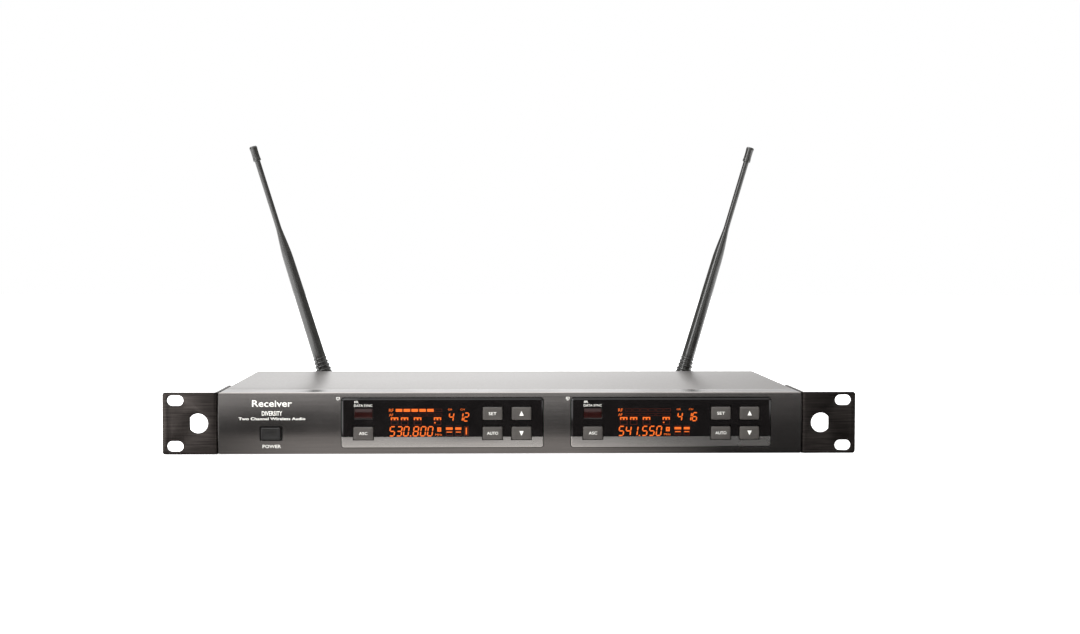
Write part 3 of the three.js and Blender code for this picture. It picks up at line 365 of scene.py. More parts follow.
black_acrylic = moulded("black_cast_acrylic", "#0f0c0c", "#0b0909", 0.09, 12 * mm, 0.002 * mm, ior=1.49)
red_acrylic = moulded("infrared_red_acrylic", "#260806", "#1c0605", 0.12, 8 * mm, 0.002 * mm, ior=1.49)
key_abs = moulded("grey_moulded_abs", "#46423e", "#3e3a37", 0.42, 0.25 * mm, 0.02 * mm, ior=1.53)
button_abs = moulded("dark_moulded_abs", "#191716", "#131211", 0.36, 0.25 * mm, 0.02 * mm, ior=1.53)
nylon = moulded("black_glass_filled_nylon", "#222120", "#191817", 0.52, 0.4 * mm, 0.04 * mm, ior=1.53)
# The elastomer's own grain is too fine to show as well, so it is drawn as a slow 2.5 mm unevenness, very shallow.
elastomer = moulded("black_moulded_elastomer", "#1f1e1a", "#191814", 0.24, 2.5 * mm, 0.004 * mm, ior=1.51,
                    Specular_IOR_Level=1.0)
board_laminate = moulded("green_solder_mask_laminate", "#1d5a3a", "#174a2f", 0.35, 0.8 * mm, 0.02 * mm, ior=1.5)
ribbon_pvc = moulded("grey_ribbon_pvc", "#8d8c88", "#7f7e7a", 0.6, 1.27 * mm, 0.05 * mm, ior=1.54)
coax_pvc = moulded("brown_fep_jacket", "#4b2e22", "#3d2419", 0.4, 0.6 * mm, 0.02 * mm, ior=1.35)
white_ink = moulded("white_printed_ink", "#f0efe9", "#dddbd4", 0.55, 0.12 * mm, 0.004 * mm, ior=1.5)
display_glass = moulded("tinted_display_glass", "#1c1210", "#150d0b", 0.12, 10 * mm, 0.001 * mm, ior=1.52)


def glowing(name, colour, strength):
    """A display segment: it emits, and its cells shimmer slightly from one to the next."""
    material, tree, shader = start_material(name, "#0a0504", 0.2, Emission_Strength=strength)
    cells = grain(tree, 0.6 * mm, Detail=2.0)
    ranged = add_node(tree, "ShaderNodeMapRange", {"From Min": 0.3, "From Max": 0.7}, {"Value": (cells, 0)})
    pale = [min(1.0, v * 1.25) for v in linear(colour)]
    mixed = add_node(tree, "ShaderNodeMix", {6: linear(colour), 7: pale}, {0: (ranged, "Result")}, data_type="RGBA")
    tree.links.new(mixed.outputs[2], shader.inputs["Emission Color"])
    return material


segment_lit = glowing("lit_orange_segment", "#ff6e24", 1.15)
segment_dim = glowing("unlit_orange_segment", "#5a1c0c", 0.5)
print("materials in all:", len(bpy.data.materials))


# %% [markdown]
# ## Mesh helpers
# Most of this object is sheet and plate: flat outlines with holes, rounded rims and, on folded pieces, bends. A
# cube with bevel and Boolean modifiers can make those, but cut rims then need repair. Here an outline is a
# function that also gives itself grown or shrunk, so a rim is a few exact rings of points, the flat faces are
# filled between the innermost rings, and the result is one closed body. A folded piece is made flat, sliced
# where it bends, and each of its points is then moved along the bend, as a press brake does.

# %% Mesh helpers
def rounded_rectangle(x, z, width, height, radius, steps=6):
    """Its outline as a function of how far it is grown."""
    def outline(grow):
        r = max(radius + grow, 0.02 * mm)
        points = []
        for turn, (sx, sz) in enumerate([(1, 1), (-1, 1), (-1, -1), (1, -1)]):
            cx, cz = x + sx * (width / 2 + grow - r), z + sz * (height / 2 + grow - r)
            for i in range(steps + 1):
                a = pi / 2 * (turn + i / steps)
                points.append((cx + r * cos(a), cz + r * sin(a)))
        return points
    return outline


def round_hole(x, z, radius, steps=40):
    return lambda grow: [(x + (radius + grow) * cos(2 * pi * i / steps), z + (radius + grow) * sin(2 * pi * i / steps))
                         for i in range(steps)]


def d_hole(x, z, radius, flat, side, steps=40):
    """A round hole with one flat, to the side +1 or -1 of its centre."""
    def outline(grow):
        r, f = radius + grow, flat + grow
        half = acos(min(1.0, f / r))
        angles = [half + (2 * pi - 2 * half) * i / steps for i in range(steps + 1)]
        return [(x + side * r * cos(a), z + side * r * sin(a)) for a in angles]
    return outline


def ring_of(bm, points):
    return [bm.verts.new(p) for p in points]


def join_rings(bm, first, second):
    count = len(first)
    for i in range(count):
        j = (i + 1) % count
        bm.faces.new((first[i], first[j], second[j], second[i]))


def ringed_plate(edges_and_steps):
    """A closed plate of (x, depth, z). Each edge is an outline with its steps, [(how far it is grown, depth)...]."""
    bm = bmesh.new()
    face, back = [], []
    for outline, steps in edges_and_steps:
        made = [ring_of(bm, [(x, depth, z) for x, z in outline(grow)]) for grow, depth in steps]
        for first, second in zip(made, made[1:]):
            join_rings(bm, first, second)
        face.append(made[0])
        back.append(made[-1])
    for loops in (face, back):
        edges = [bm.edges.get((loop[i], loop[i - 1])) for loop in loops for i in range(len(loop))]
        bmesh.ops.triangle_fill(bm, use_beauty=True, use_dissolve=False, edges=edges)
    return bm


def plate(outer, holes, thickness, rim, steps=3):
    """A flat plate with its face at depth 0, and every edge rounded by rim on both faces."""
    edges = []
    for outline, side in [(outer, -1)] + [(hole, 1) for hole in holes]:
        rounded = []
        for i in range(steps + 1):
            a = pi / 2 * (1 - i / steps)
            rounded.append((side * rim * (1 - cos(a)), rim * (1 - sin(a))))
        edges.append((outline, rounded + [(grow, thickness - depth) for grow, depth in reversed(rounded)]))
    return ringed_plate(edges)


def fold(bm, cuts, axis, place):
    """Slices the plate at the given places along an axis, then moves each point by place(x, depth, z)."""
    normal = [0, 0, 0]
    normal[axis] = 1
    for cut in cuts:
        point = [0, 0, 0]
        point[axis] = cut
        geometry = bm.verts[:] + bm.edges[:] + bm.faces[:]
        bmesh.ops.bisect_plane(bm, geom=geometry, dist=1e-7, plane_co=point, plane_no=normal)
    for vert in bm.verts:
        vert.co = place(*vert.co)
    return bm


def loft(bm, rings, closed_ends=True):
    """Joins rings of points, and closes both ends with a fan of faces."""
    made = [ring_of(bm, ring) for ring in rings]
    for first, second in zip(made, made[1:]):
        join_rings(bm, first, second)
    if closed_ends:
        bm.faces.new(made[0])
        bm.faces.new(made[-1])
    return bm


def turned(profile, sides=48):
    """A turned piece about Z. The profile is [(radius, z)...] from one end on the axis to the other."""
    bm = bmesh.new()
    rings, tips = [], []
    for radius, z in profile:
        if radius < 1e-6:
            tips.append(bm.verts.new((0, 0, z)))
            rings.append(None)
        else:
            rings.append(ring_of(bm, [(radius * cos(2 * pi * i / sides), radius * sin(2 * pi * i / sides), z)
                                      for i in range(sides)]))
    for k in range(len(rings) - 1):
        first, second = rings[k], rings[k + 1]
        if first and second:
            join_rings(bm, first, second)
        elif first or second:
            ring, tip = first or second, tips[0 if second else -1]
            for i in range(sides):
                bm.faces.new((ring[i], ring[(i + 1) % sides], tip))
    return bm


def add_piece(name, shape, material, body, nodes=(), smooth=32):
    """Puts a shape (a bmesh) into the scene, rides it on its body and lets it stand for CAD nodes."""
    bmesh.ops.remove_doubles(shape, verts=shape.verts[:], dist=1e-7)
    bmesh.ops.recalc_face_normals(shape, faces=shape.faces[:])
    mesh = bpy.data.meshes.new(name)
    shape.to_mesh(mesh)
    shape.free()
    mesh.materials.append(material)
    mesh.shade_smooth()
    mesh.set_sharp_from_angle(angle=radians(smooth))
    piece = bpy.data.objects.new(name, mesh)
    bpy.context.scene.collection.objects.link(piece)
    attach(piece, body)
    if nodes:
        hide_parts(*nodes)
    return piece


def measure(*pieces):
    for piece in pieces:
        size = [round((max(v.co[k] for v in piece.data.vertices) - min(v.co[k] for v in piece.data.vertices)) / mm, 2)
                for k in range(3)]
        print(piece.name, "is", size, "mm, with", len(piece.data.polygons), "faces")


def corners(node):
    low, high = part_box(node)
    return Vector(low), Vector(high)


def node_middle(node):
    low, high = corners(node)
    return (low + high) / 2


def in_mm(rows):
    return [tuple(value * mm for value in row) for row in rows]


print("helpers ready")


# %% [markdown]
# ## Bezel
# The bezel is an extruded channel whose face is very slightly crowned, with a rounded upper edge that catches the
# light. It could be a box with Boolean cuts, but a crown then has to be sculpted. Instead the channel is developed:
# its skin is laid out flat, with the windows and the button hole already in it, and folded along its profile.

# %% Bezel
panel_low, panel_high = corners("front_panel")
case_half = panel_high.x
crown = radians(3.6)
top_radius, low_radius, end_radius = 1.3 * mm, 1.0 * mm, 1.2 * mm
face_thick, lip_thick = 3 * mm, 2 * mm
front_y, bezel_rear = panel_low.y, panel_high.y
case_height = panel_high.z


def bezel_profile():
    """The bezel's skin as [(length along it, y, z, outward y, outward z)...] from the lower lip to the upper one."""
    low_z, high_z = low_radius * (1 - sin(crown)), case_height - top_radius * (1 - sin(crown))
    half = (high_z - low_z) / 2
    bulge = half / sin(crown)
    centre_y, centre_z = front_y + bulge, (low_z + high_z) / 2
    points = [(bezel_rear, 0.0, 0.0, -1.0)]
    low_y = centre_y - bulge * cos(crown)
    for i in range(7):
        a = pi / 2 - (pi / 2 - crown) * i / 6
        cy, cz = low_y + low_radius * cos(crown), low_radius
        points.append((cy - low_radius * cos(a), cz - low_radius * sin(a), -cos(a), -sin(a)))
    for i in range(1, 24):
        a = crown * (2 * i / 24 - 1)
        points.append((centre_y - bulge * cos(a), centre_z + bulge * sin(a), -cos(a), sin(a)))
    for i in range(9):
        a = crown + (pi / 2 - crown) * i / 8
        cy, cz = low_y + top_radius * cos(crown), case_height - top_radius
        points.append((cy - top_radius * cos(a), cz + top_radius * sin(a), -cos(a), sin(a)))
    points.append((bezel_rear, case_height, 0.0, 1.0))
    length, skin = 0.0, []
    for i, (y, z, ny, nz) in enumerate(points):
        if i:
            length += sqrt((y - points[i - 1][0]) ** 2 + (z - points[i - 1][1]) ** 2)
        skin.append((length, y, z, ny, nz))
    return skin


skin = bezel_profile()


def along_skin(length):
    length = min(max(length, skin[0][0]), skin[-1][0])
    for before, after in zip(skin, skin[1:]):
        if length <= after[0]:
            share = (length - before[0]) / (after[0] - before[0])
            return [b + (a - b) * share for b, a in zip(before[1:], after[1:])]
    return skin[-1][1:]


def skin_at(z):
    """The length along the skin at which the face reaches a height."""
    face = [row for row in skin if row[3] < -0.5]
    for before, after in zip(face, face[1:]):
        if before[2] <= z <= after[2]:
            return before[0] + (after[0] - before[0]) * (z - before[2]) / (after[2] - before[2])


def onto_bezel(x, depth, length):
    y, z, ny, nz = along_skin(length)
    share = min(1.0, max(0.0, (abs(ny) - 0.1) / 0.9))
    deep = depth / face_thick * (lip_thick + (face_thick - lip_thick) * share)
    out = Vector((ny, nz)).normalized()
    near = min(z, case_height - z)
    if near < end_radius and abs(x) > case_half - 2 * mm:
        x -= (end_radius - sqrt(max(0.0, end_radius ** 2 - (end_radius - near) ** 2))) * (1 if x > 0 else -1)
    return Vector((x, y - out.x * deep, z - out.y * deep))


def bezel_opening(x, low, high, width, radius):
    start, end = skin_at(low), skin_at(high)
    return rounded_rectangle(x, (start + end) / 2, width, end - start, radius)


window_gap, window_corner, window_rim = 0.3 * mm, 1.8 * mm, 1.7 * mm
openings = []
for letter in "ab":
    strip_low, strip_high = corners(f"trim_strip_{letter}")
    window_top = corners(f"window_{letter}")[1].z - window_rim
    openings.append(bezel_opening((strip_low.x + strip_high.x) / 2, strip_low.z - window_gap, window_top + window_gap,
                                  strip_high.x - strip_low.x + 2 * window_gap, window_corner + window_gap))
button_low, button_high = corners("power_button")
button_flange = 1.2 * mm
button_wide = button_high.x - button_low.x - 2 * button_flange
openings.append(bezel_opening((button_low.x + button_high.x) / 2, button_low.z + button_flange,
                              button_high.z - button_flange, button_wide, 0.7 * mm))
outline = rounded_rectangle(0, skin[-1][0] / 2, 2 * case_half, skin[-1][0], 0.3 * mm)
bezel = fold(plate(outline, openings, face_thick, 0.25 * mm), [row[0] for row in skin[1:-1]], 2, onto_bezel)
bezel = add_piece("bezel", bezel, bezel_aluminium, "case", ["front_panel"])
# Long thin faces beside the openings would tilt the shading, so larger faces count for more in each corner's normal.
weighting = bezel.modifiers.new("even_shading", "WEIGHTED_NORMAL")
weighting.keep_sharp = True
measure(bezel)


# %% [markdown]
# ## Cover
# The cover is one sheet folded down over both sides. A box would give it square edges, so it is laid flat and folded
# round a small radius, as the brake makes it. Its underside and the tray stay as the CAD has them.

# %% Cover
cover_low, cover_high = corners("top_cover")
cover_sheet, cover_bend = 1.2 * mm, 1.6 * mm
skirt = cover_high.z - cover_bend - cover_low.z
arc = cover_bend * pi / 2
flat_half = cover_high.x - cover_bend


def onto_cover(across, depth, y):
    side = 1 if across > 0 else -1
    over = abs(across) - flat_half
    r = cover_bend - depth
    if over <= 0:
        return Vector((across, y, cover_high.z - depth))
    if over <= arc:
        a = over / cover_bend
        return Vector((side * (flat_half + r * sin(a)), y, cover_high.z - cover_bend + r * cos(a)))
    return Vector((side * (cover_high.x - depth), y, cover_high.z - cover_bend - (over - arc)))


cover_outline = rounded_rectangle(0, (cover_low.y + cover_high.y) / 2, 2 * (flat_half + arc + skirt),
                                  cover_high.y - cover_low.y, 0.6 * mm)
bend_cuts = [side * (flat_half + arc * i / 8) for i in range(9) for side in (-1, 1)]
cover = fold(plate(cover_outline, [], cover_sheet, 0.25 * mm), bend_cuts, 0, onto_cover)
cover = add_piece("cover", cover, cover_paint, "case", ["top_cover"])
measure(cover)


# %% [markdown]
# ## Rack ears
# Each ear is a steel plate with two slots and a D-shaped socket hole, bent back along the case. Two boxes joined at a
# corner would leave the bend sharp. Cutting the flat plate first and bending it afterwards is how the shop does it,
# and it keeps the slots' rims true.

# %% Rack ears
def rack_ear(hand, side):
    low, high = corners(f"rack_ear_{hand}")
    inner = min(abs(low.x), abs(high.x))
    tip = max(abs(low.x), abs(high.x))
    thick, bend = 2 * mm, 3 * mm
    arc = bend * pi / 2
    start = inner + bend
    straight = high.y - front_y - bend
    middle = (low.z + high.z) / 2

    def onto_ear(x, depth, z):
        along = x - start
        if along >= 0:
            place = (x, front_y + depth)
        elif along >= -arc:
            a = -along / bend
            place = (start - (bend - depth) * sin(a), front_y + bend - (bend - depth) * cos(a))
        else:
            place = (inner + depth, front_y + bend - along - arc)
        return Vector((side * place[0], place[1], z))

    slots = [rounded_rectangle(tip - 8.75 * mm, middle + lift * 15.875 * mm, 11.3 * mm, 7.3 * mm, 3.64 * mm, 10)
             for lift in (-1, 1)]
    socket = d_hole(case_half + 13.7 * mm, middle, 6.85 * mm, 5.6 * mm, 1)
    length = tip - start + arc + straight
    outline = rounded_rectangle(tip - length / 2, middle, length, high.z - low.z, 1.8 * mm)
    cuts = [start - arc * i / 8 for i in range(9)]
    ear = fold(plate(outline, slots + [socket], thick, 0.2 * mm), cuts, 0, onto_ear)
    return add_piece(f"ear_{hand}", ear, ear_steel, "case", [f"rack_ear_{hand}"])


measure(rack_ear("left", -1), rack_ear("right", 1))


# %% [markdown]
# ## Window inserts and trim strips
# Each display section sits behind one polished acrylic insert with a chamfered edge, and a silver strip closes its
# lower edge. Both are cut out round the keys. Boolean cuts would leave the chamfer to be rebuilt, so their
# outlines are drawn with the notches in them, and each side of an outline says how much of the chamfer it takes.

# %% Window inserts and trim strips
def drawn(points, shares):
    """An outline through points, anticlockwise; side i runs from point i to the next and grows by its share."""
    def outline(grow):
        moved = []
        for i, (x, z) in enumerate(points):
            sides = []
            for k in (i - 1, i):
                ax, az = points[k]
                bx, bz = points[(k + 1) % len(points)]
                length = sqrt((bx - ax) ** 2 + (bz - az) ** 2)
                sides.append(((bz - az) / length, (ax - bx) / length, grow * shares[k]))
            (n1x, n1z, g1), (n2x, n2z, g2) = sides
            det = n1x * n2z - n1z * n2x
            if abs(det) < 1e-4:
                moved.append((x + n1x * (g1 + g2) / 2, z + n1z * (g1 + g2) / 2))
            else:
                moved.append((x + (g1 * n2z - g2 * n1z) / det, z + (g2 * n1x - g1 * n2x) / det))
        return moved
    return outline


def chamfered_plate(outer, holes, thickness, wide, deep):
    """A plate whose outer edge has a flat chamfer and whose holes are nearly sharp."""
    rim = [(-wide, 0), (-wide * 0.06, deep * 0.94), (0, deep * 1.1), (0, thickness)]
    bore = [(0.1 * mm, 0), (0, 0.1 * mm), (0, thickness)]
    return ringed_plate([(outer, rim)] + [(hole, bore) for hole in holes])


def set_back(bm, y):
    for vert in bm.verts:
        vert.co.y += y
    return bm


def quarter(x, z, radius, start, steps=7):
    angles = [radians(start) + pi / 2 * i / steps for i in range(steps + 1)]
    return [(x + radius * cos(a), z + radius * sin(a)) for a in angles]


key_names = ["sync", "set", "auto", "up", "down"]
key_flange, key_room = 1.2 * mm, 0.45 * mm


def key_cap(name, letter):
    """The middle and half size of a key's cap, from its box without the flange behind the window."""
    low, high = corners(f"key_{name}_{letter}")
    middle = (low + high) / 2
    return middle.x, middle.z, (high.x - low.x) / 2 - key_flange, (high.z - low.z) / 2 - key_flange, low.y


def window_insert(letter):
    strip_low, strip_high = corners(f"trim_strip_{letter}")
    window_low, window_high = corners(f"window_{letter}")
    left, right, top = strip_low.x, strip_high.x, window_high.z - window_rim
    joint = strip_high.z + 0.15 * mm
    caps = {name: key_cap(name, letter) for name in key_names}
    low_row = sorted((cap for cap in caps.values() if cap[1] - cap[3] - key_room < joint), key=lambda cap: cap[0])
    points = [(left, joint)]
    for x, z, half_x, half_z, front in low_row:
        a, b, roof = x - half_x - key_room, x + half_x + key_room, z + half_z + key_room
        points += [(a, joint), (a, roof), (b, roof), (b, joint)]
    points.append((right, joint))
    shares = [0.06] * (len(points) - 1)
    corner = window_corner
    points += quarter(right - corner, top - corner, corner, 0) + quarter(left + corner, top - corner, corner, 90)
    shares += [1.0] * (len(points) - len(shares))
    holes = [rounded_rectangle(x, z, 2 * (half_x + key_room), 2 * (half_z + key_room), 0.3 * mm)
             for x, z, half_x, half_z, front in caps.values() if z - half_z - key_room > joint]
    lens_low, lens_high = corners(f"ir_lens_{letter}")
    lens = rounded_rectangle((lens_low.x + lens_high.x) / 2, (lens_low.z + lens_high.z) / 2,
                             lens_high.x - lens_low.x - 2.4 * mm, lens_high.z - lens_low.z - 2.4 * mm, 0.3 * mm)
    shape = chamfered_plate(drawn(points, shares), holes + [lens], window_high.y - window_low.y, 1.2 * mm, 0.8 * mm)
    window = add_piece(f"acrylic_{letter}", set_back(shape, window_low.y), black_acrylic, "case",
                       [f"window_{letter}"], smooth=20)

    points = quarter(left + corner, strip_low.z + corner, corner, 180)
    points += quarter(right - corner, strip_low.z + corner, corner, 270)
    points.append((right, strip_high.z))
    shares = [1.0] * (len(points) - 1)
    for x, z, half_x, half_z, front in reversed(low_row):
        a, b, floor = x - half_x - key_room, x + half_x + key_room, z - half_z - key_room
        points += [(b, strip_high.z), (b, floor), (a, floor), (a, strip_high.z)]
    points.append((left, strip_high.z))
    shares += [0.1] * (len(points) - 1 - len(shares)) + [1.0]
    shape = chamfered_plate(drawn(points, shares), [], strip_high.y - strip_low.y, 0.7 * mm, 0.5 * mm)
    strip = add_piece(f"strip_{letter}", set_back(shape, strip_low.y), trim_aluminium, "case",
                      [f"trim_strip_{letter}"], smooth=20)

    half_x, half_z = (lens_high.x - lens_low.x) / 2 - 1.5 * mm, (lens_high.z - lens_low.z) / 2 - 1.5 * mm
    shape = plate(rounded_rectangle((lens_low.x + lens_high.x) / 2, (lens_low.z + lens_high.z) / 2, 2 * half_x,
                                    2 * half_z, 0.4 * mm), [], lens_high.y - lens_low.y, 0.2 * mm)
    lens = add_piece(f"infrared_window_{letter}", set_back(shape, lens_low.y), red_acrylic, "case",
                     [f"ir_lens_{letter}"])
    return window, strip, lens


for letter in "ab":
    measure(*window_insert(letter))


# %% [markdown]
# ## Keys and the power button
# The keys are moulded caps with soft shoulders, and the power button is a larger cap with a shallow dish for the
# fingertip. A cube with a Bevel modifier would give one radius all round; rings of a rounded outline, set
# back step by step, give the shoulder the changing curve that a mould has.

# %% Keys and the power button
def moulded_cap(x, z, half_x, half_z, corner, steps):
    """A cap facing -Y; steps = [(how far the outline is grown, depth from the front)...]."""
    outline = rounded_rectangle(x, z, 2 * half_x, 2 * half_z, corner)
    return loft(bmesh.new(), [[(px, depth, pz) for px, pz in outline(grow)] for grow, depth in steps])


def shoulder(wide, deep, steps=6):
    return [(-wide * (1 - sin(pi / 2 * i / steps)), deep * (1 - cos(pi / 2 * i / steps))) for i in range(steps + 1)]


def make_key(name, letter):
    x, z, half_x, half_z, front = key_cap(name, letter)
    back = corners(f"key_{name}_{letter}")[1].y - 2.5 * mm - front
    steps = shoulder(2.4 * mm, 0.75 * mm)
    steps += [(0, back - 1.0 * mm), (key_flange, back - 1.0 * mm), (key_flange, back)]
    cap = set_back(moulded_cap(x, z, half_x, half_z, 0.9 * mm, steps), front)
    return add_piece(f"cap_{name}_{letter}", cap, key_abs, f"key_{name}_{letter}",
                     [f"key_{name}_{letter}"], smooth=40)


for letter in "ab":
    for name in key_names:
        key = make_key(name, letter)
measure(key)

dish = in_mm([(-3.4, 0.22), (-2.6, 0.2), (-1.7, 0.1), (-1.1, 0.02), (-0.8, 0.0)])
steps = dish + shoulder(0.6 * mm, 0.6 * mm) + in_mm([(0, 5.8), (1.2, 5.8), (1.2, 6.8)])
cap = moulded_cap((button_low.x + button_high.x) / 2, (button_low.z + button_high.z) / 2, 6.65 * mm, 4.1 * mm,
                  0.8 * mm, steps)
button = add_piece("power_cap", set_back(cap, button_low.y), button_abs, "power_button",
                   ["power_button"], smooth=40)
measure(button)


# %% [markdown]
# ## Printed legends
# The legends are pad-printed. Painting them into a material needs an image; a text object turned into a thin solid
# keeps crisp edges, and it is real geometry that rides on its key. Only plain function words are printed.

# %% Printed legends
ink = 0.03 * mm


def lettering(name, words, x, z, face, height, width, material, body, bold=0.0):
    """Words as a solid ink layer centred on (x, z); face gives the y of the printed surface at a height."""
    curve = bpy.data.curves.new(name, "FONT")
    curve.body = words
    curve.resolution_u = 3
    curve.extrude = 0.5
    curve.offset = bold
    holder = bpy.data.objects.new(name, curve)
    bpy.context.scene.collection.objects.link(holder)
    bpy.context.view_layer.update()
    mesh = bpy.data.meshes.new_from_object(holder.evaluated_get(bpy.context.evaluated_depsgraph_get()))
    bpy.data.objects.remove(holder)
    bm = bmesh.new()
    bm.from_mesh(mesh)
    bpy.data.meshes.remove(mesh)
    xs, zs = [v.co.x for v in bm.verts], [v.co.y for v in bm.verts]
    scale_z = height / (max(zs) - min(zs))
    scale_x = width / (max(xs) - min(xs))
    for vert in bm.verts:
        px, pz, depth = vert.co
        pz = z + (pz - (max(zs) + min(zs)) / 2) * scale_z
        vert.co = (x + (px - (max(xs) + min(xs)) / 2) * scale_x, face(pz) - depth * ink, pz)
    return add_piece(name, bm, material, body)


def flat_shapes(name, outlines, face_y, material, body, thick=ink):
    """Flat polygons [(x, z)...] as one solid layer on a face that looks along -Y."""
    bm = bmesh.new()
    for points in outlines:
        front = ring_of(bm, [(x, face_y - thick / 2, z) for x, z in points])
        back = ring_of(bm, [(x, face_y + thick / 2, z) for x, z in points])
        join_rings(bm, front, back)
        bm.faces.new(front)
        bm.faces.new(back)
    return add_piece(name, bm, material, body)


def flat_at(y):
    return lambda z: y


legend_height = 2.0 * mm
legends = {"sync": ("ASC", 5.8 * mm), "set": ("SET", 5.4 * mm), "auto": ("AUTO", 7.6 * mm)}
for letter in "ab":
    for name in key_names:
        x, z, half_x, half_z, front = key_cap(name, letter)
        body = f"key_{name}_{letter}"
        if name in legends:
            words, width = legends[name]
            lettering(f"legend_{name}_{letter}", words, x, z, flat_at(front), legend_height, width, white_ink, body)
        else:
            up = 1 if name == "up" else -1
            half, tall = 1.5 * mm * up, 1.7 * mm * up
            arrow = [(x - half, z - half), (x + half, z - half), (x, z + tall)]
            flat_shapes(f"legend_{name}_{letter}", [arrow], front, white_ink, body)

panel_words = [
    ("print_title", "Receiver", -166.0, 35.3, 4.6, 27.5),
    ("print_kind", "DIVERSITY", -166.0, 28.4, 3.2, 14.0),
    ("print_line", "Two Channel Wireless Audio", -166.0, 24.7, 1.9, 46.0),
    ("print_power", "POWER", -166.3, 5.4, 2.3, 12.6),
]


def face_y_at(z):
    """Where the crowned face of the bezel lies at a height."""
    return along_skin(skin_at(z))[0]


for name, words, x, z, height, width in panel_words:
    lettering(name, words, x * mm, z * mm, face_y_at, height * mm, width * mm, white_ink, "case",
              bold=0.012)
print("printed", len(panel_words), "lines on the bezel")


# %% [markdown]
# ## Glowing displays
# Behind each window a display lights orange segments: a signal meter, status icons, a frequency in slanted
# seven-segment figures and a channel number. An emissive image would be quick, but segments drawn as thin solids
# stay sharp in close views. They lie on the window's face, where the eye places them.

# %% Glowing displays
segment_layer = 0.04 * mm
figure_segments = {"0": "abcdef", "1": "bc", "2": "abged", "3": "abgcd", "4": "fgbc", "5": "afgcd", "6": "afgedc",
                   "7": "abc", "8": "abcdefg", "9": "abcdfg"}


def figure(digit, x, z, width, height, stroke, slant=0.14):
    """The lit segments of one seven-segment figure, as polygons."""
    gap = stroke * 0.18
    half = height / 2
    bars = {"a": (0, height, 1, 0), "g": (0, half, 1, 0), "d": (0, 0, 1, 0), "f": (0, half, 0, 1),
            "b": (width, half, 0, 1), "e": (0, 0, 0, 1), "c": (width, 0, 0, 1)}
    outlines = []
    for name in figure_segments[digit]:
        bx, bz, across, up = bars[name]
        length = width if across else half
        h = stroke / 2
        shape = [(gap, 0), (gap + h, h), (length - gap - h, h), (length - gap, 0), (length - gap - h, -h),
                 (gap + h, -h)]
        placed = [(bx + u * across - v * up, bz + v * across + u * up) for u, v in shape]
        outlines.append([(x + px + pz * slant, z + pz) for px, pz in placed])
    return outlines


def box(x0, z0, x1, z1):
    return [(x0, z0), (x1, z0), (x1, z1), (x0, z1)]


def frame_of(x0, z0, x1, z1, line):
    """Four thin bars round a rectangle."""
    return [box(x0, z0, x1, z0 + line), box(x0, z1 - line, x1, z1), box(x0, z0 + line, x0 + line, z1 - line),
            box(x1 - line, z0 + line, x1, z1 - line)]


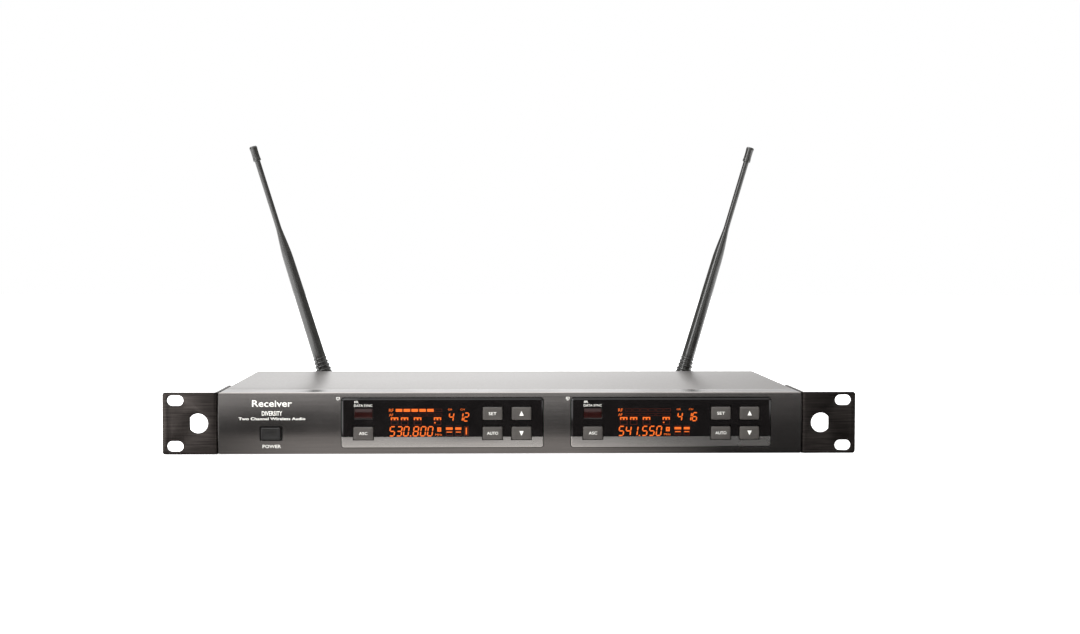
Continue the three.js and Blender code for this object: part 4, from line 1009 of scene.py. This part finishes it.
def make_display(letter, frequency, channel, meter_bars):
    """Everything that glows in one window; sizes in mm from the window's left end and the unit's underside."""
    left = corners(f"trim_strip_{letter}")[0].x / mm
    lit, faint = [], []
    pitch = (70.2 - 37.5) / 6
    for i in range(6):
        x0 = 37.5 + i * pitch
        if i < meter_bars:
            lit.append(box(x0, 29.5, x0 + pitch - 0.9, 31.5))
        else:
            faint += frame_of(x0, 29.5, x0 + pitch - 0.5, 31.5, 0.3)
        faint += frame_of(x0, 26.4, x0 + pitch - 0.5, 28.2, 0.25)
    for x0, x1 in [(34.1, 39.3), (41.1, 46.2), (50.0, 55.3), (63.9, 69.0)]:
        lit += [box(x0, 24.9, x1, 25.6), box(x0, 23.7, x0 + 0.9, 24.9), box(x1 - 0.9, 23.7, x1, 24.9),
                box((x0 + x1) / 2 - 0.6, 23.7, (x0 + x1) / 2 + 0.6, 24.9)]
        faint += frame_of(x0, 20.2, x1, 23.4, 0.45)
    lit.append(box(64.1, 21.4, 65.2, 22.3))
    places = [32.7, 37.6, 42.4, 49.1, 54.1, 59.0]
    for digit, x0 in zip(frequency.replace(".", ""), places):
        lit += figure(digit, x0 + 0.35, 12.7, 3.2, 6.4, 0.85)
    lit.append(box(47.3, 12.3, 48.2, 13.1))
    lit += frame_of(66.3, 15.6, 69.0, 18.6, 0.85)
    lit.append(box(66.9, 16.8, 68.4, 17.3))
    for x0, x1 in [(72.3, 77.0), (78.8, 83.0)]:
        lit += [box(x0, 16.9, x1, 18.6), box(x0 + 0.4, 15.0, x1 - 0.4, 15.6)]
        faint += frame_of(x0, 12.8, x1, 16.4, 0.4) + [box(x0, 19.4, x1, 19.7)]
    lit += figure(channel[0], 74.2, 23.0, 2.9, 5.6, 0.8)
    lit += figure(channel[1], 80.6, 23.0, 2.9, 5.6, 0.8) + figure(channel[2], 84.6, 23.0, 2.9, 5.6, 0.8)
    if meter_bars:
        faint += frame_of(84.9, 12.6, 88.0, 19.4, 0.6)
        lit.append(box(86.0, 13.6, 86.9, 18.4))
    face = corners(f"window_{letter}")[0].y
    for name, outlines, material in [("lit", lit, segment_lit), ("unlit", faint, segment_dim)]:
        placed = [[((left + x) * mm, z * mm) for x, z in outline] for outline in outlines]
        flat_shapes(f"segments_{name}_{letter}", placed, face, material, "case", segment_layer)
    glowing_words = [("rf", "RF", 34.4, 30.5, 2.1, 3.1), ("af", "AF", 34.3, 27.3, 1.8, 2.9),
                     ("mhz", "MHz", 67.3, 13.5, 1.4, 4.6), ("group", "GR", 75.2, 31.0, 1.2, 2.9),
                     ("channel", "CH", 83.8, 31.0, 1.2, 2.9)]
    printed_words = [("ir", "IR", 10.4, 36.3, 1.5, 2.9), ("data", "DATA SYNC", 15.0, 33.8, 1.6, 12.6)]
    for group, rows, material, slot in [("glow", glowing_words, segment_lit, "display_glass"),
                                        ("print", printed_words, white_ink, "window_acrylic")]:
        for name, text, x, z, height, width in rows:
            lettering(f"{group}_{name}_{letter}", text, (left + x) * mm, z * mm, flat_at(face), height * mm,
                      width * mm, material, "case")
    sign = [(left + x) * mm for x in (-3.6, -1.2)]
    plane = face_y_at(38.2 * mm)
    rim = frame_of(sign[0], 36.6 * mm, sign[1], 39.6 * mm, 0.3 * mm)
    flat_shapes(f"print_sign_{letter}", rim, plane, white_ink, "case")
    lettering(f"print_letter_{letter}", letter.upper(), sum(sign) / 2, 38.1 * mm, face_y_at, 1.8 * mm, 1.2 * mm,
              white_ink, "case")


make_display("a", "530.800", "412", 5)
make_display("b", "541.550", "416", 0)


# %% [markdown]
# ## Screws
# Pan-head screws with a cross recess hold the ears, the cover and the output sockets. The head is a turned form, and a
# Boolean cut is the right tool for the recess, because the cutter is a simple closed cross. One function makes each
# head at its place, turned to face the way that its screw does.

# %% Screws
def combined(first, second, operation):
    """Two closed shapes as one, by an exact Boolean."""
    objects = []
    for shape in (first, second):
        bmesh.ops.recalc_face_normals(shape, faces=shape.faces[:])
        mesh = bpy.data.meshes.new("part")
        shape.to_mesh(mesh)
        shape.free()
        part = bpy.data.objects.new("part", mesh)
        bpy.context.scene.collection.objects.link(part)
        objects.append(part)
    boolean = objects[0].modifiers.new("cut", "BOOLEAN")
    boolean.operation, boolean.solver, boolean.object = operation, "EXACT", objects[1]
    bpy.context.view_layer.update()
    done = bpy.data.meshes.new_from_object(objects[0].evaluated_get(bpy.context.evaluated_depsgraph_get()))
    result = bmesh.new()
    result.from_mesh(done)
    bpy.data.meshes.remove(done)
    for part in objects:
        bpy.data.objects.remove(part)
    return result


def screw(name, head, height, shank, length, under, direction, material, body, nodes=()):
    """A pan-head screw: under is the middle of the head's underside, direction points out of it."""
    profile = [(0, -length), (shank * 0.7, -length), (shank, -length + 0.4 * mm), (shank, 0), (head * 0.98, 0),
               (head, 0.1 * mm), (head, height * 0.35), (head * 0.93, height * 0.62), (head * 0.78, height * 0.83),
               (head * 0.5, height * 0.97), (0, height)]
    shape = turned(profile, 32)
    arm, wide = head * 0.52, head * 0.14
    cross = [(arm, -wide), (arm, wide), (wide, wide), (wide, arm), (-wide, arm), (-wide, wide), (-arm, wide),
             (-arm, -wide), (-wide, -wide), (-wide, -arm), (wide, -arm), (wide, -wide)]
    bottom = [(x * 0.7, y * 0.7, height * 0.35) for x, y in cross]
    cutter = loft(bmesh.new(), [bottom, [(x * 1.05, y * 1.05, height * 1.2) for x, y in cross]])
    shape = combined(shape, cutter, "DIFFERENCE")
    turn = Vector(direction).to_track_quat("Z", "Y").to_matrix().to_4x4()
    shape.transform(Matrix.Translation(under) @ turn)
    return add_piece(name, shape, material, body, nodes)


head_height = 1.6 * mm
for hand, side in [("left", -1), ("right", 1)]:
    for place in ("front", "rear"):
        for kind in ("ear", "cover"):
            node = f"{kind}_screw_{hand}_{place}"
            low, high = corners(node)
            tip = high.x if side > 0 else -low.x
            middle = node_middle(node)
            under = Vector((side * (tip - head_height), middle.y, middle.z))
            made = screw(f"screw_{kind}_{hand}_{place}", 3.5 * mm, head_height, 1.8 * mm,
                         high.x - low.x - head_height, under, (side, 0, 0), black_oxide, "case", [node])
measure(made)


# %% [markdown]
# ## Rear panel and its sockets
# The rear panel is a folded sheet with round holes for two antenna sockets, two balanced outputs, one mixed output and
# the supply inlet. Each socket is made as its maker builds it: a die-cast flange, a shell, an insulator and pins,
# instead of one solid painted in several colours.

# %% Rear panel and its sockets
panel_box = corners("rear_panel")
rear_y = panel_box[1].y
lip_bend = 1.2 * mm
socket_height = 21.5 * mm
rear_holes = {"bnc_jack_left": 4.7 * mm, "bnc_jack_right": 4.7 * mm, "xlr_out_a": 11.9 * mm, "xlr_out_b": 11.9 * mm,
              "jack_nut": 5.9 * mm, "dc_inlet": 5.3 * mm}


def facing_rear(bm, y):
    """Turns a shape that was made looking along -Y with its face at 0, to look along +Y at y."""
    for vert in bm.verts:
        vert.co = (vert.co.x, y - vert.co.y, vert.co.z)
    return bm


def rear_sheet():
    low, high = panel_box
    middle_z = (low.z + high.z) / 2
    flat_half = (high.z - low.z) / 2 - lip_bend
    arc = lip_bend * pi / 2
    lip = high.y - low.y - lip_bend

    def onto_rear(x, depth, z):
        side = 1 if z > middle_z else -1
        over = abs(z - middle_z) - flat_half
        r = lip_bend - depth
        if over <= 0:
            return Vector((x, rear_y - depth, z))
        if over <= arc:
            a = over / lip_bend
            return Vector((x, rear_y - lip_bend + r * cos(a), middle_z + side * (flat_half + r * sin(a))))
        return Vector((x, rear_y - lip_bend - (over - arc), middle_z + side * (flat_half + r)))

    holes = []
    for node, radius in rear_holes.items():
        middle = node_middle(node)
        holes.append(round_hole(middle.x, socket_height if node in ("jack_nut", "dc_inlet") else middle.z, radius))
    outline = rounded_rectangle(0, middle_z, high.x - low.x, 2 * (flat_half + arc + lip), 0.4 * mm)
    cuts = [middle_z + side * (flat_half + arc * i / 5) for i in range(6) for side in (-1, 1)]
    sheet = fold(plate(outline, holes, 1.15 * mm, 0.15 * mm), cuts, 2, onto_rear)
    return add_piece("rear_sheet", sheet, rear_paint, "case", ["rear_panel"])


measure(rear_sheet())


def from_rear(x, y, z):
    """Lays a shape turned about Z along Y, so that its own Z runs inwards from the rear face at y."""
    return Matrix.Translation((x, y, z)) @ Matrix.Rotation(pi / 2, 4, "X")


def balanced_output(letter):
    """A three-pin male socket on the rear panel."""
    node = f"xlr_out_{letter}"
    low, high = corners(node)
    x, z = (low.x + high.x) / 2, (low.z + high.z) / 2
    face = high.y
    screws_at = [(x + sx * 9.5 * mm, z - sx * 12 * mm) for sx in (-1, 1)]
    holes = [round_hole(x, z, 10.9 * mm, 48)] + [round_hole(*place, 1.6 * mm, 20) for place in screws_at]
    flange = plate(rounded_rectangle(x, z, high.x - low.x, high.z - low.z, 2.5 * mm), holes, 1.8 * mm, 0.35 * mm)
    add_piece(f"output_flange_{letter}", facing_rear(flange, face), nickel, "case", [node])
    deep = high.y - low.y
    shell = turned([(0, deep), (11.4 * mm, deep)]
                   + in_mm([(11.4, 1.9), (10.8, 1.9), (10.8, -0.2), (10.5, -0.5), (9.6, -0.5), (9.3, -0.2), (9.3, 15),
                            (0, 15)]), 64)
    shell.transform(from_rear(x, face, z))
    add_piece(f"output_shell_{letter}", shell, nickel, "case")
    insert = turned(in_mm([(0, 14.95), (9.25, 14.95), (9.25, 14.2), (9.0, 13.9), (0, 13.9)]), 48)
    insert.transform(from_rear(x, face, z))
    add_piece(f"output_insert_{letter}", insert, nylon, "case")
    pins = bmesh.new()
    for turn in range(3):
        a = -pi / 2 + turn * 2 * pi / 3
        pin = turned(in_mm([(0, 13.88), (1.2, 13.88), (1.2, 3.8), (0.9, 3.2), (0, 3.0)]), 16)
        pin.transform(from_rear(x + 5 * mm * cos(a), face, z + 5 * mm * sin(a)))
        part = bpy.data.meshes.new("pin")
        pin.to_mesh(part)
        pin.free()
        pins.from_mesh(part)
        bpy.data.meshes.remove(part)
    add_piece(f"output_pins_{letter}", pins, nickel, "case")
    for (screw_x, screw_z), place in zip(screws_at, ("upper", "lower")):
        under = Vector((screw_x, face + 0.02 * mm, screw_z))
        screw(f"output_screw_{letter}_{place}", 2.6 * mm, 1.1 * mm, 1.4 * mm, 4 * mm, under, (0, 1, 0), black_oxide,
              "case")


for letter in "ab":
    balanced_output(letter)


def along_y(shape, x, z, y):
    """A shape turned about Z, laid along Y so that its own Z = 0 is at y and it grows towards the rear."""
    shape.transform(Matrix.Translation((x, y, z)) @ Matrix.Rotation(-pi / 2, 4, "X"))
    return shape


def threaded(radius, start, end, pitch, groove):
    """The outline of a fine thread, drawn as rings, as [(radius, z)...]."""
    rows = []
    count = int((end - start) / pitch)
    for i in range(count):
        z = start + i * pitch
        rows += [(radius - groove, z), (radius, z + pitch * 0.5)]
    return rows


def mixed_output():
    x, _, z = node_middle("jack_nut")
    nose = corners("jack_mix_out")[1].y - rear_y
    profile = in_mm([(0, -27), (5.4, -27), (5.4, 0.2)])
    profile += threaded(5.6 * mm, 0.3 * mm, nose - 0.5 * mm, 0.7 * mm, 0.35 * mm)
    profile += [(5.2 * mm, nose - 0.15 * mm), (4.9 * mm, nose), (3.7 * mm, nose), (3.25 * mm, nose - 0.4 * mm),
                (3.25 * mm, -22 * mm), (0, -22 * mm)]
    add_piece("jack_nose", along_y(turned(profile, 48), x, z, rear_y), nickel, "case",
              ["jack_mix_out"])
    hexagon = [(x + 8 * mm * cos(pi / 3 * i), z + 8 * mm * sin(pi / 3 * i)) for i in range(6)]
    nut = plate(drawn(hexagon, [1] * 6), [round_hole(x, z, 5.75 * mm, 48)], 2 * mm, 0.35 * mm)
    add_piece("jack_hex_nut", facing_rear(nut, corners("jack_nut")[1].y), nickel, "case",
              ["jack_nut"])


def supply_inlet():
    x, z, nose = node_middle("dc_inlet").x, socket_height, corners("dc_inlet")[1].y - rear_y
    profile = [(0, -15 * mm), (4.9 * mm, -15 * mm), (4.9 * mm, nose - 0.3 * mm), (4.6 * mm, nose), (3.4 * mm, nose),
               (3.1 * mm, nose - 0.3 * mm), (3.1 * mm, -11 * mm), (0, -11 * mm)]
    add_piece("inlet_barrel", along_y(turned(profile, 40), x, z, rear_y), nylon, "case",
              ["dc_inlet"])
    profile = [(0, -11 * mm), (1.05 * mm, -11 * mm), (1.05 * mm, nose - 1.9 * mm), (0.7 * mm, nose - 1.5 * mm),
               (0, nose - 1.4 * mm)]
    add_piece("inlet_pin", along_y(turned(profile, 20), x, z, rear_y), nickel, "case")


mixed_output()
supply_inlet()
rear_words = [("ant_a", "ANT A", -144.6, 34.6, 9.5), ("ant_b", "ANT B", 142.5, 34.6, 9.5),
              ("out_a", "OUTPUT A", -50.5, 34.6, 15.0), ("out_b", "OUTPUT B", 30.0, 38.9, 12.5),
              ("mix", "MIX", 48.0, 34.6, 6.5), ("supply", "DC 12 V", 84.0, 34.6, 12.0)]
for name, words, x, z, width in rear_words:
    label = lettering(f"print_{name}", words, -x * mm, z * mm, flat_at(-rear_y), legend_height, width * mm,
                      white_ink, "case")
    label.data.transform(Matrix.Rotation(pi, 4, "Z"))
print("rear labels:", [words for name, words, *rest in rear_words])


# %% [markdown]
# ## Antennas
# Each antenna is a bayonet coupling with a knurled collar, a forked elbow with a hinge pin, and a moulded whip: a
# ribbed foot, a long taper, a slim upper part and a waisted tip cap. A tube skinned along a curve would do for the
# whip, but most of these are turned about their own axis, so each is one profile spun round, which gives true
# circles and a clean line of light down the whip. The fork and tongue are plates, joined on by Booleans.

# %% Antennas
def hinge_of(hand):
    joint = next(j for j in frame["joints"] if j["name"] == f"antenna_{hand}_tilt")
    across = -Vector(joint["axis"])
    stand = across.cross(Vector((0, 1, 0)))
    turn = Matrix((across, Vector((0, 1, 0)), stand)).transposed().to_4x4()
    return Vector(joint["pos_m"]), turn


def smooth_line(points, steps=4):
    """A soft curve through profile points, by Catmull-Rom."""
    out = []
    for i in range(len(points) - 1):
        p = [points[max(0, min(len(points) - 1, i + k))] for k in (-1, 0, 1, 2)]
        for s in range(steps):
            t = s / steps
            out.append(tuple(0.5 * (2 * p[1][k] + (p[2][k] - p[0][k]) * t
                                    + (2 * p[0][k] - 5 * p[1][k] + 4 * p[2][k] - p[3][k]) * t * t
                                    + (3 * p[1][k] - p[0][k] - 3 * p[2][k] + p[3][k]) * t ** 3) for k in (0, 1)))
    return out + [points[-1]]


def whip_profile():
    rows = [(0, 6.35), (6.0, 6.35), (6.35, 6.6), (6.5, 7.2), (6.5, 19.4), (6.35, 19.8), (5.95, 20.0)]
    for i in range(4):
        z = 20.0 + 3.2 * i
        r = 6.4 + (5.5 - 6.4) * i / 3
        rows += [(r - 0.5, z + 0.25), (r - 0.5, z + 1.2), (r - 0.12, z + 1.4), (r, z + 1.7), (r, z + 2.6),
                 (r - 0.15, z + 2.95), (r - 0.5, z + 3.15)]
    body = [(5.15, 33.6), (4.95, 50.0), (4.68, 80.0), (4.40, 105.0), (4.20, 120.3), (3.70, 128.0), (3.00, 136.0),
            (2.45, 142.0), (2.25, 148.0), (2.25, 175.0), (2.25, 211.0)]
    return in_mm(rows + smooth_line(body, 4) + [(0, 211.0)])


def cap_profile():
    return in_mm([(0, 211.3), (2.55, 211.3), (2.55, 202.5), (2.8, 202.3), (3.1, 202.4), (3.2, 202.8), (3.2, 203.9),
                  (3.1, 204.7), (3.0, 206.2), (3.0, 210.6), (3.1, 212.2), (3.2, 213.2), (3.15, 213.9), (2.85, 214.6),
                  (2.3, 214.9), (0, 214.95)])


def knurled_collar():
    """A ring with 24 grip ribs; its axis is Y, measured from the hinge."""
    per_rib, rib_height = 6, 0.17
    count, start, end = 24 * per_rib, -20.2 * mm, -8.6 * mm
    outer = [(start, 6.5, 0), (start + 0.3 * mm, 6.9, 0), (start + 0.9 * mm, 7.0, 1), (end - 2.6 * mm, 7.0, 1),
             (end - 2.2 * mm, 6.7, 0), (end - 1.7 * mm, 6.7, 0), (end - 1.3 * mm, 7.0, 0),
             (end - 0.4 * mm, 7.0, 0), (end, 6.6, 0)]
    inner = [(end, 3.35, 0), (end - 2 * mm, 3.35, 0), (end - 2 * mm, 5.12, 0), (start, 5.12, 0)]
    rings = []
    for y, radius, ribbed in outer + inner:
        ring = []
        for i in range(count):
            a = 2 * pi * i / count
            r = (radius + ribbed * rib_height * (1 if i % per_rib < per_rib / 2 else -1.2)) * mm
            ring.append((r * cos(a), y, r * sin(a)))
        rings.append(ring)
    bm = loft(bmesh.new(), rings, closed_ends=False)
    bm.verts.ensure_lookup_table()
    join_rings(bm, bm.verts[-count:], bm.verts[:count])
    return bm


def rounded_block(low, high, rim):
    """A block between two corners, with rounded edges, standing along Y."""
    outline = rounded_rectangle((low[0] + high[0]) / 2, (low[2] + high[2]) / 2, high[0] - low[0], high[2] - low[2],
                                rim * 1.5)
    shape = plate(outline, [], high[1] - low[1], rim)
    return set_back(shape, low[1])


def cheek(x0, x1, radius, back, rim, hole):
    """A plate across X, round about the pin and square towards the back."""
    arc = [(radius * cos(a), radius * sin(a)) for a in [-pi / 2 + pi * i / 20 for i in range(21)]]
    points = arc + [(back, radius), (back, -radius)]
    shape = plate(drawn(points, [1] * len(points)), [round_hole(0, 0, hole, 24)], x1 - x0, rim)
    for vert in shape.verts:
        along, depth, z = vert.co
        vert.co = (x0 + depth, along, z)
    return shape


pin_hole = 1.8 * mm


def elbow_shape():
    r, inner = 5.8 * mm, 3.05 * mm
    cheeks = [cheek(x0, x1, r, -7.4 * mm, 0.35 * mm, pin_hole) for x0, x1 in [(-r, -inner), (inner, r)]]
    fork = combined(*cheeks, "UNION")
    fork = combined(fork, rounded_block((-r, -8.1 * mm, -r), (r, -5.5 * mm, r), 0.3 * mm), "UNION")
    spigot = turned(in_mm([(0, -19.2), (3.5, -19.2), (3.7, -19), (3.7, -11.6), (4.7, -11.6), (4.7, -10.9),
                           (3, -10.9), (3, -7.4), (0, -7.4)]), 32)
    spigot.transform(Matrix.Rotation(-pi / 2, 4, "X"))
    return combined(fork, spigot, "UNION")


def whip_shape():
    rod = turned(whip_profile(), 48)
    radius = 5.2 * mm
    arc = [(radius * cos(a), radius * sin(a)) for a in [pi + pi * i / 20 for i in range(21)]]
    points = arc + [(radius, 8 * mm), (-radius, 8 * mm)]
    tongue = plate(drawn(points, [1] * len(points)), [round_hole(0, 0, pin_hole, 24)], 5.4 * mm, 0.3 * mm)
    for vert in tongue.verts:
        along, depth, z = vert.co
        vert.co = (depth - 2.7 * mm, along, z)
    return combined(rod, tongue, "UNION")


def pin_shape():
    half = 6.1 * mm
    rows = [(0, -half - 0.78 * mm), (1.6 * mm, -half - 0.75 * mm), (2.3 * mm, -half - 0.5 * mm),
            (2.5 * mm, -half - 0.15 * mm), (2.5 * mm, -half), (1.5 * mm, -half)]
    shape = turned(rows + [(r, -z) for r, z in reversed(rows)], 32)
    shape.transform(Matrix.Rotation(pi / 2, 4, "Y"))
    return shape


def antenna_socket():
    """The bayonet socket, turned about Y from the hinge: tail, thread, flange and barrel with a deep bore."""
    profile = in_mm([(0, -38.0), (2.5, -38.0), (2.5, -34.0)])
    profile += threaded(4.4 * mm, -34.0 * mm, -22.6 * mm, 0.8 * mm, 0.3 * mm)
    profile += in_mm([(4.4, -22.5), (6.5, -22.5), (6.8, -22.2), (6.8, -20.8), (6.5, -20.5), (4.8, -20.5),
                      (4.8, -12.3), (4.6, -12.0), (4.2, -12.0), (4.0, -12.2), (4.0, -19.5), (0, -19.5)])
    shape = turned(profile, 40)
    shape.transform(Matrix.Rotation(-pi / 2, 4, "X"))
    return shape


for hand in ("left", "right"):
    hinge, turn = hinge_of(hand)
    stand = Matrix.Translation(hinge) @ turn
    made = []
    for name, shape, material, slot, body, node in [
            ("antenna_socket", antenna_socket(), nickel, "socket_nickel", "case", "bnc_jack"),
            ("collar", knurled_collar(), nickel, "socket_nickel", f"antenna_{hand}_collar", "coupling_collar"),
            ("elbow", elbow_shape(), nylon, "elbow_nylon", f"antenna_{hand}_elbow", "antenna_elbow"),
            ("pin", pin_shape(), nickel, "socket_nickel", f"antenna_{hand}_elbow", "hinge_pin"),
            ("rod", whip_shape(), elastomer, "antenna_rubber", f"antenna_{hand}_whip", "whip"),
            ("tip_cap", turned(cap_profile(), 48), elastomer, "antenna_rubber", f"antenna_{hand}_whip", "whip_cap")]:
        shape.transform(stand if name != "antenna_socket" else Matrix.Translation(hinge))
        made.append(add_piece(f"{name}_{hand}", shape, material, body, [f"{node}_{hand}"]))
measure(*made)


# %% [markdown]
# ## Pieces that stay as the CAD has them
# The tray, the boards, the screening cans, the leads, the nuts and the power switch are inside or underneath. They
# could be modelled again here, but their CAD shapes are right, so they only get the materials that such pieces have.

# %% Pieces that stay as the CAD has them
inside = {"base_tray": zinc_steel, "front_board": board_laminate, "main_board": board_laminate, "power_switch": nylon,
          "ribbon_cable": ribbon_pvc, "rf_shield_a": tin_plate, "rf_shield_b": tin_plate, "coax_left": coax_pvc,
          "coax_right": coax_pvc, "bnc_nut_left": nickel, "bnc_nut_right": nickel, "display_a": display_glass,
          "display_b": display_glass}
for node, material in inside.items():
    kept = frame["nodes"][node]
    if kept.material_slots:
        kept.material_slots[0].material = material
    else:
        kept.data.materials.append(material)
left_over = [name for name, node in frame["nodes"].items() if not node.hide_render and name not in inside]
print("CAD nodes without a finish:", left_over)
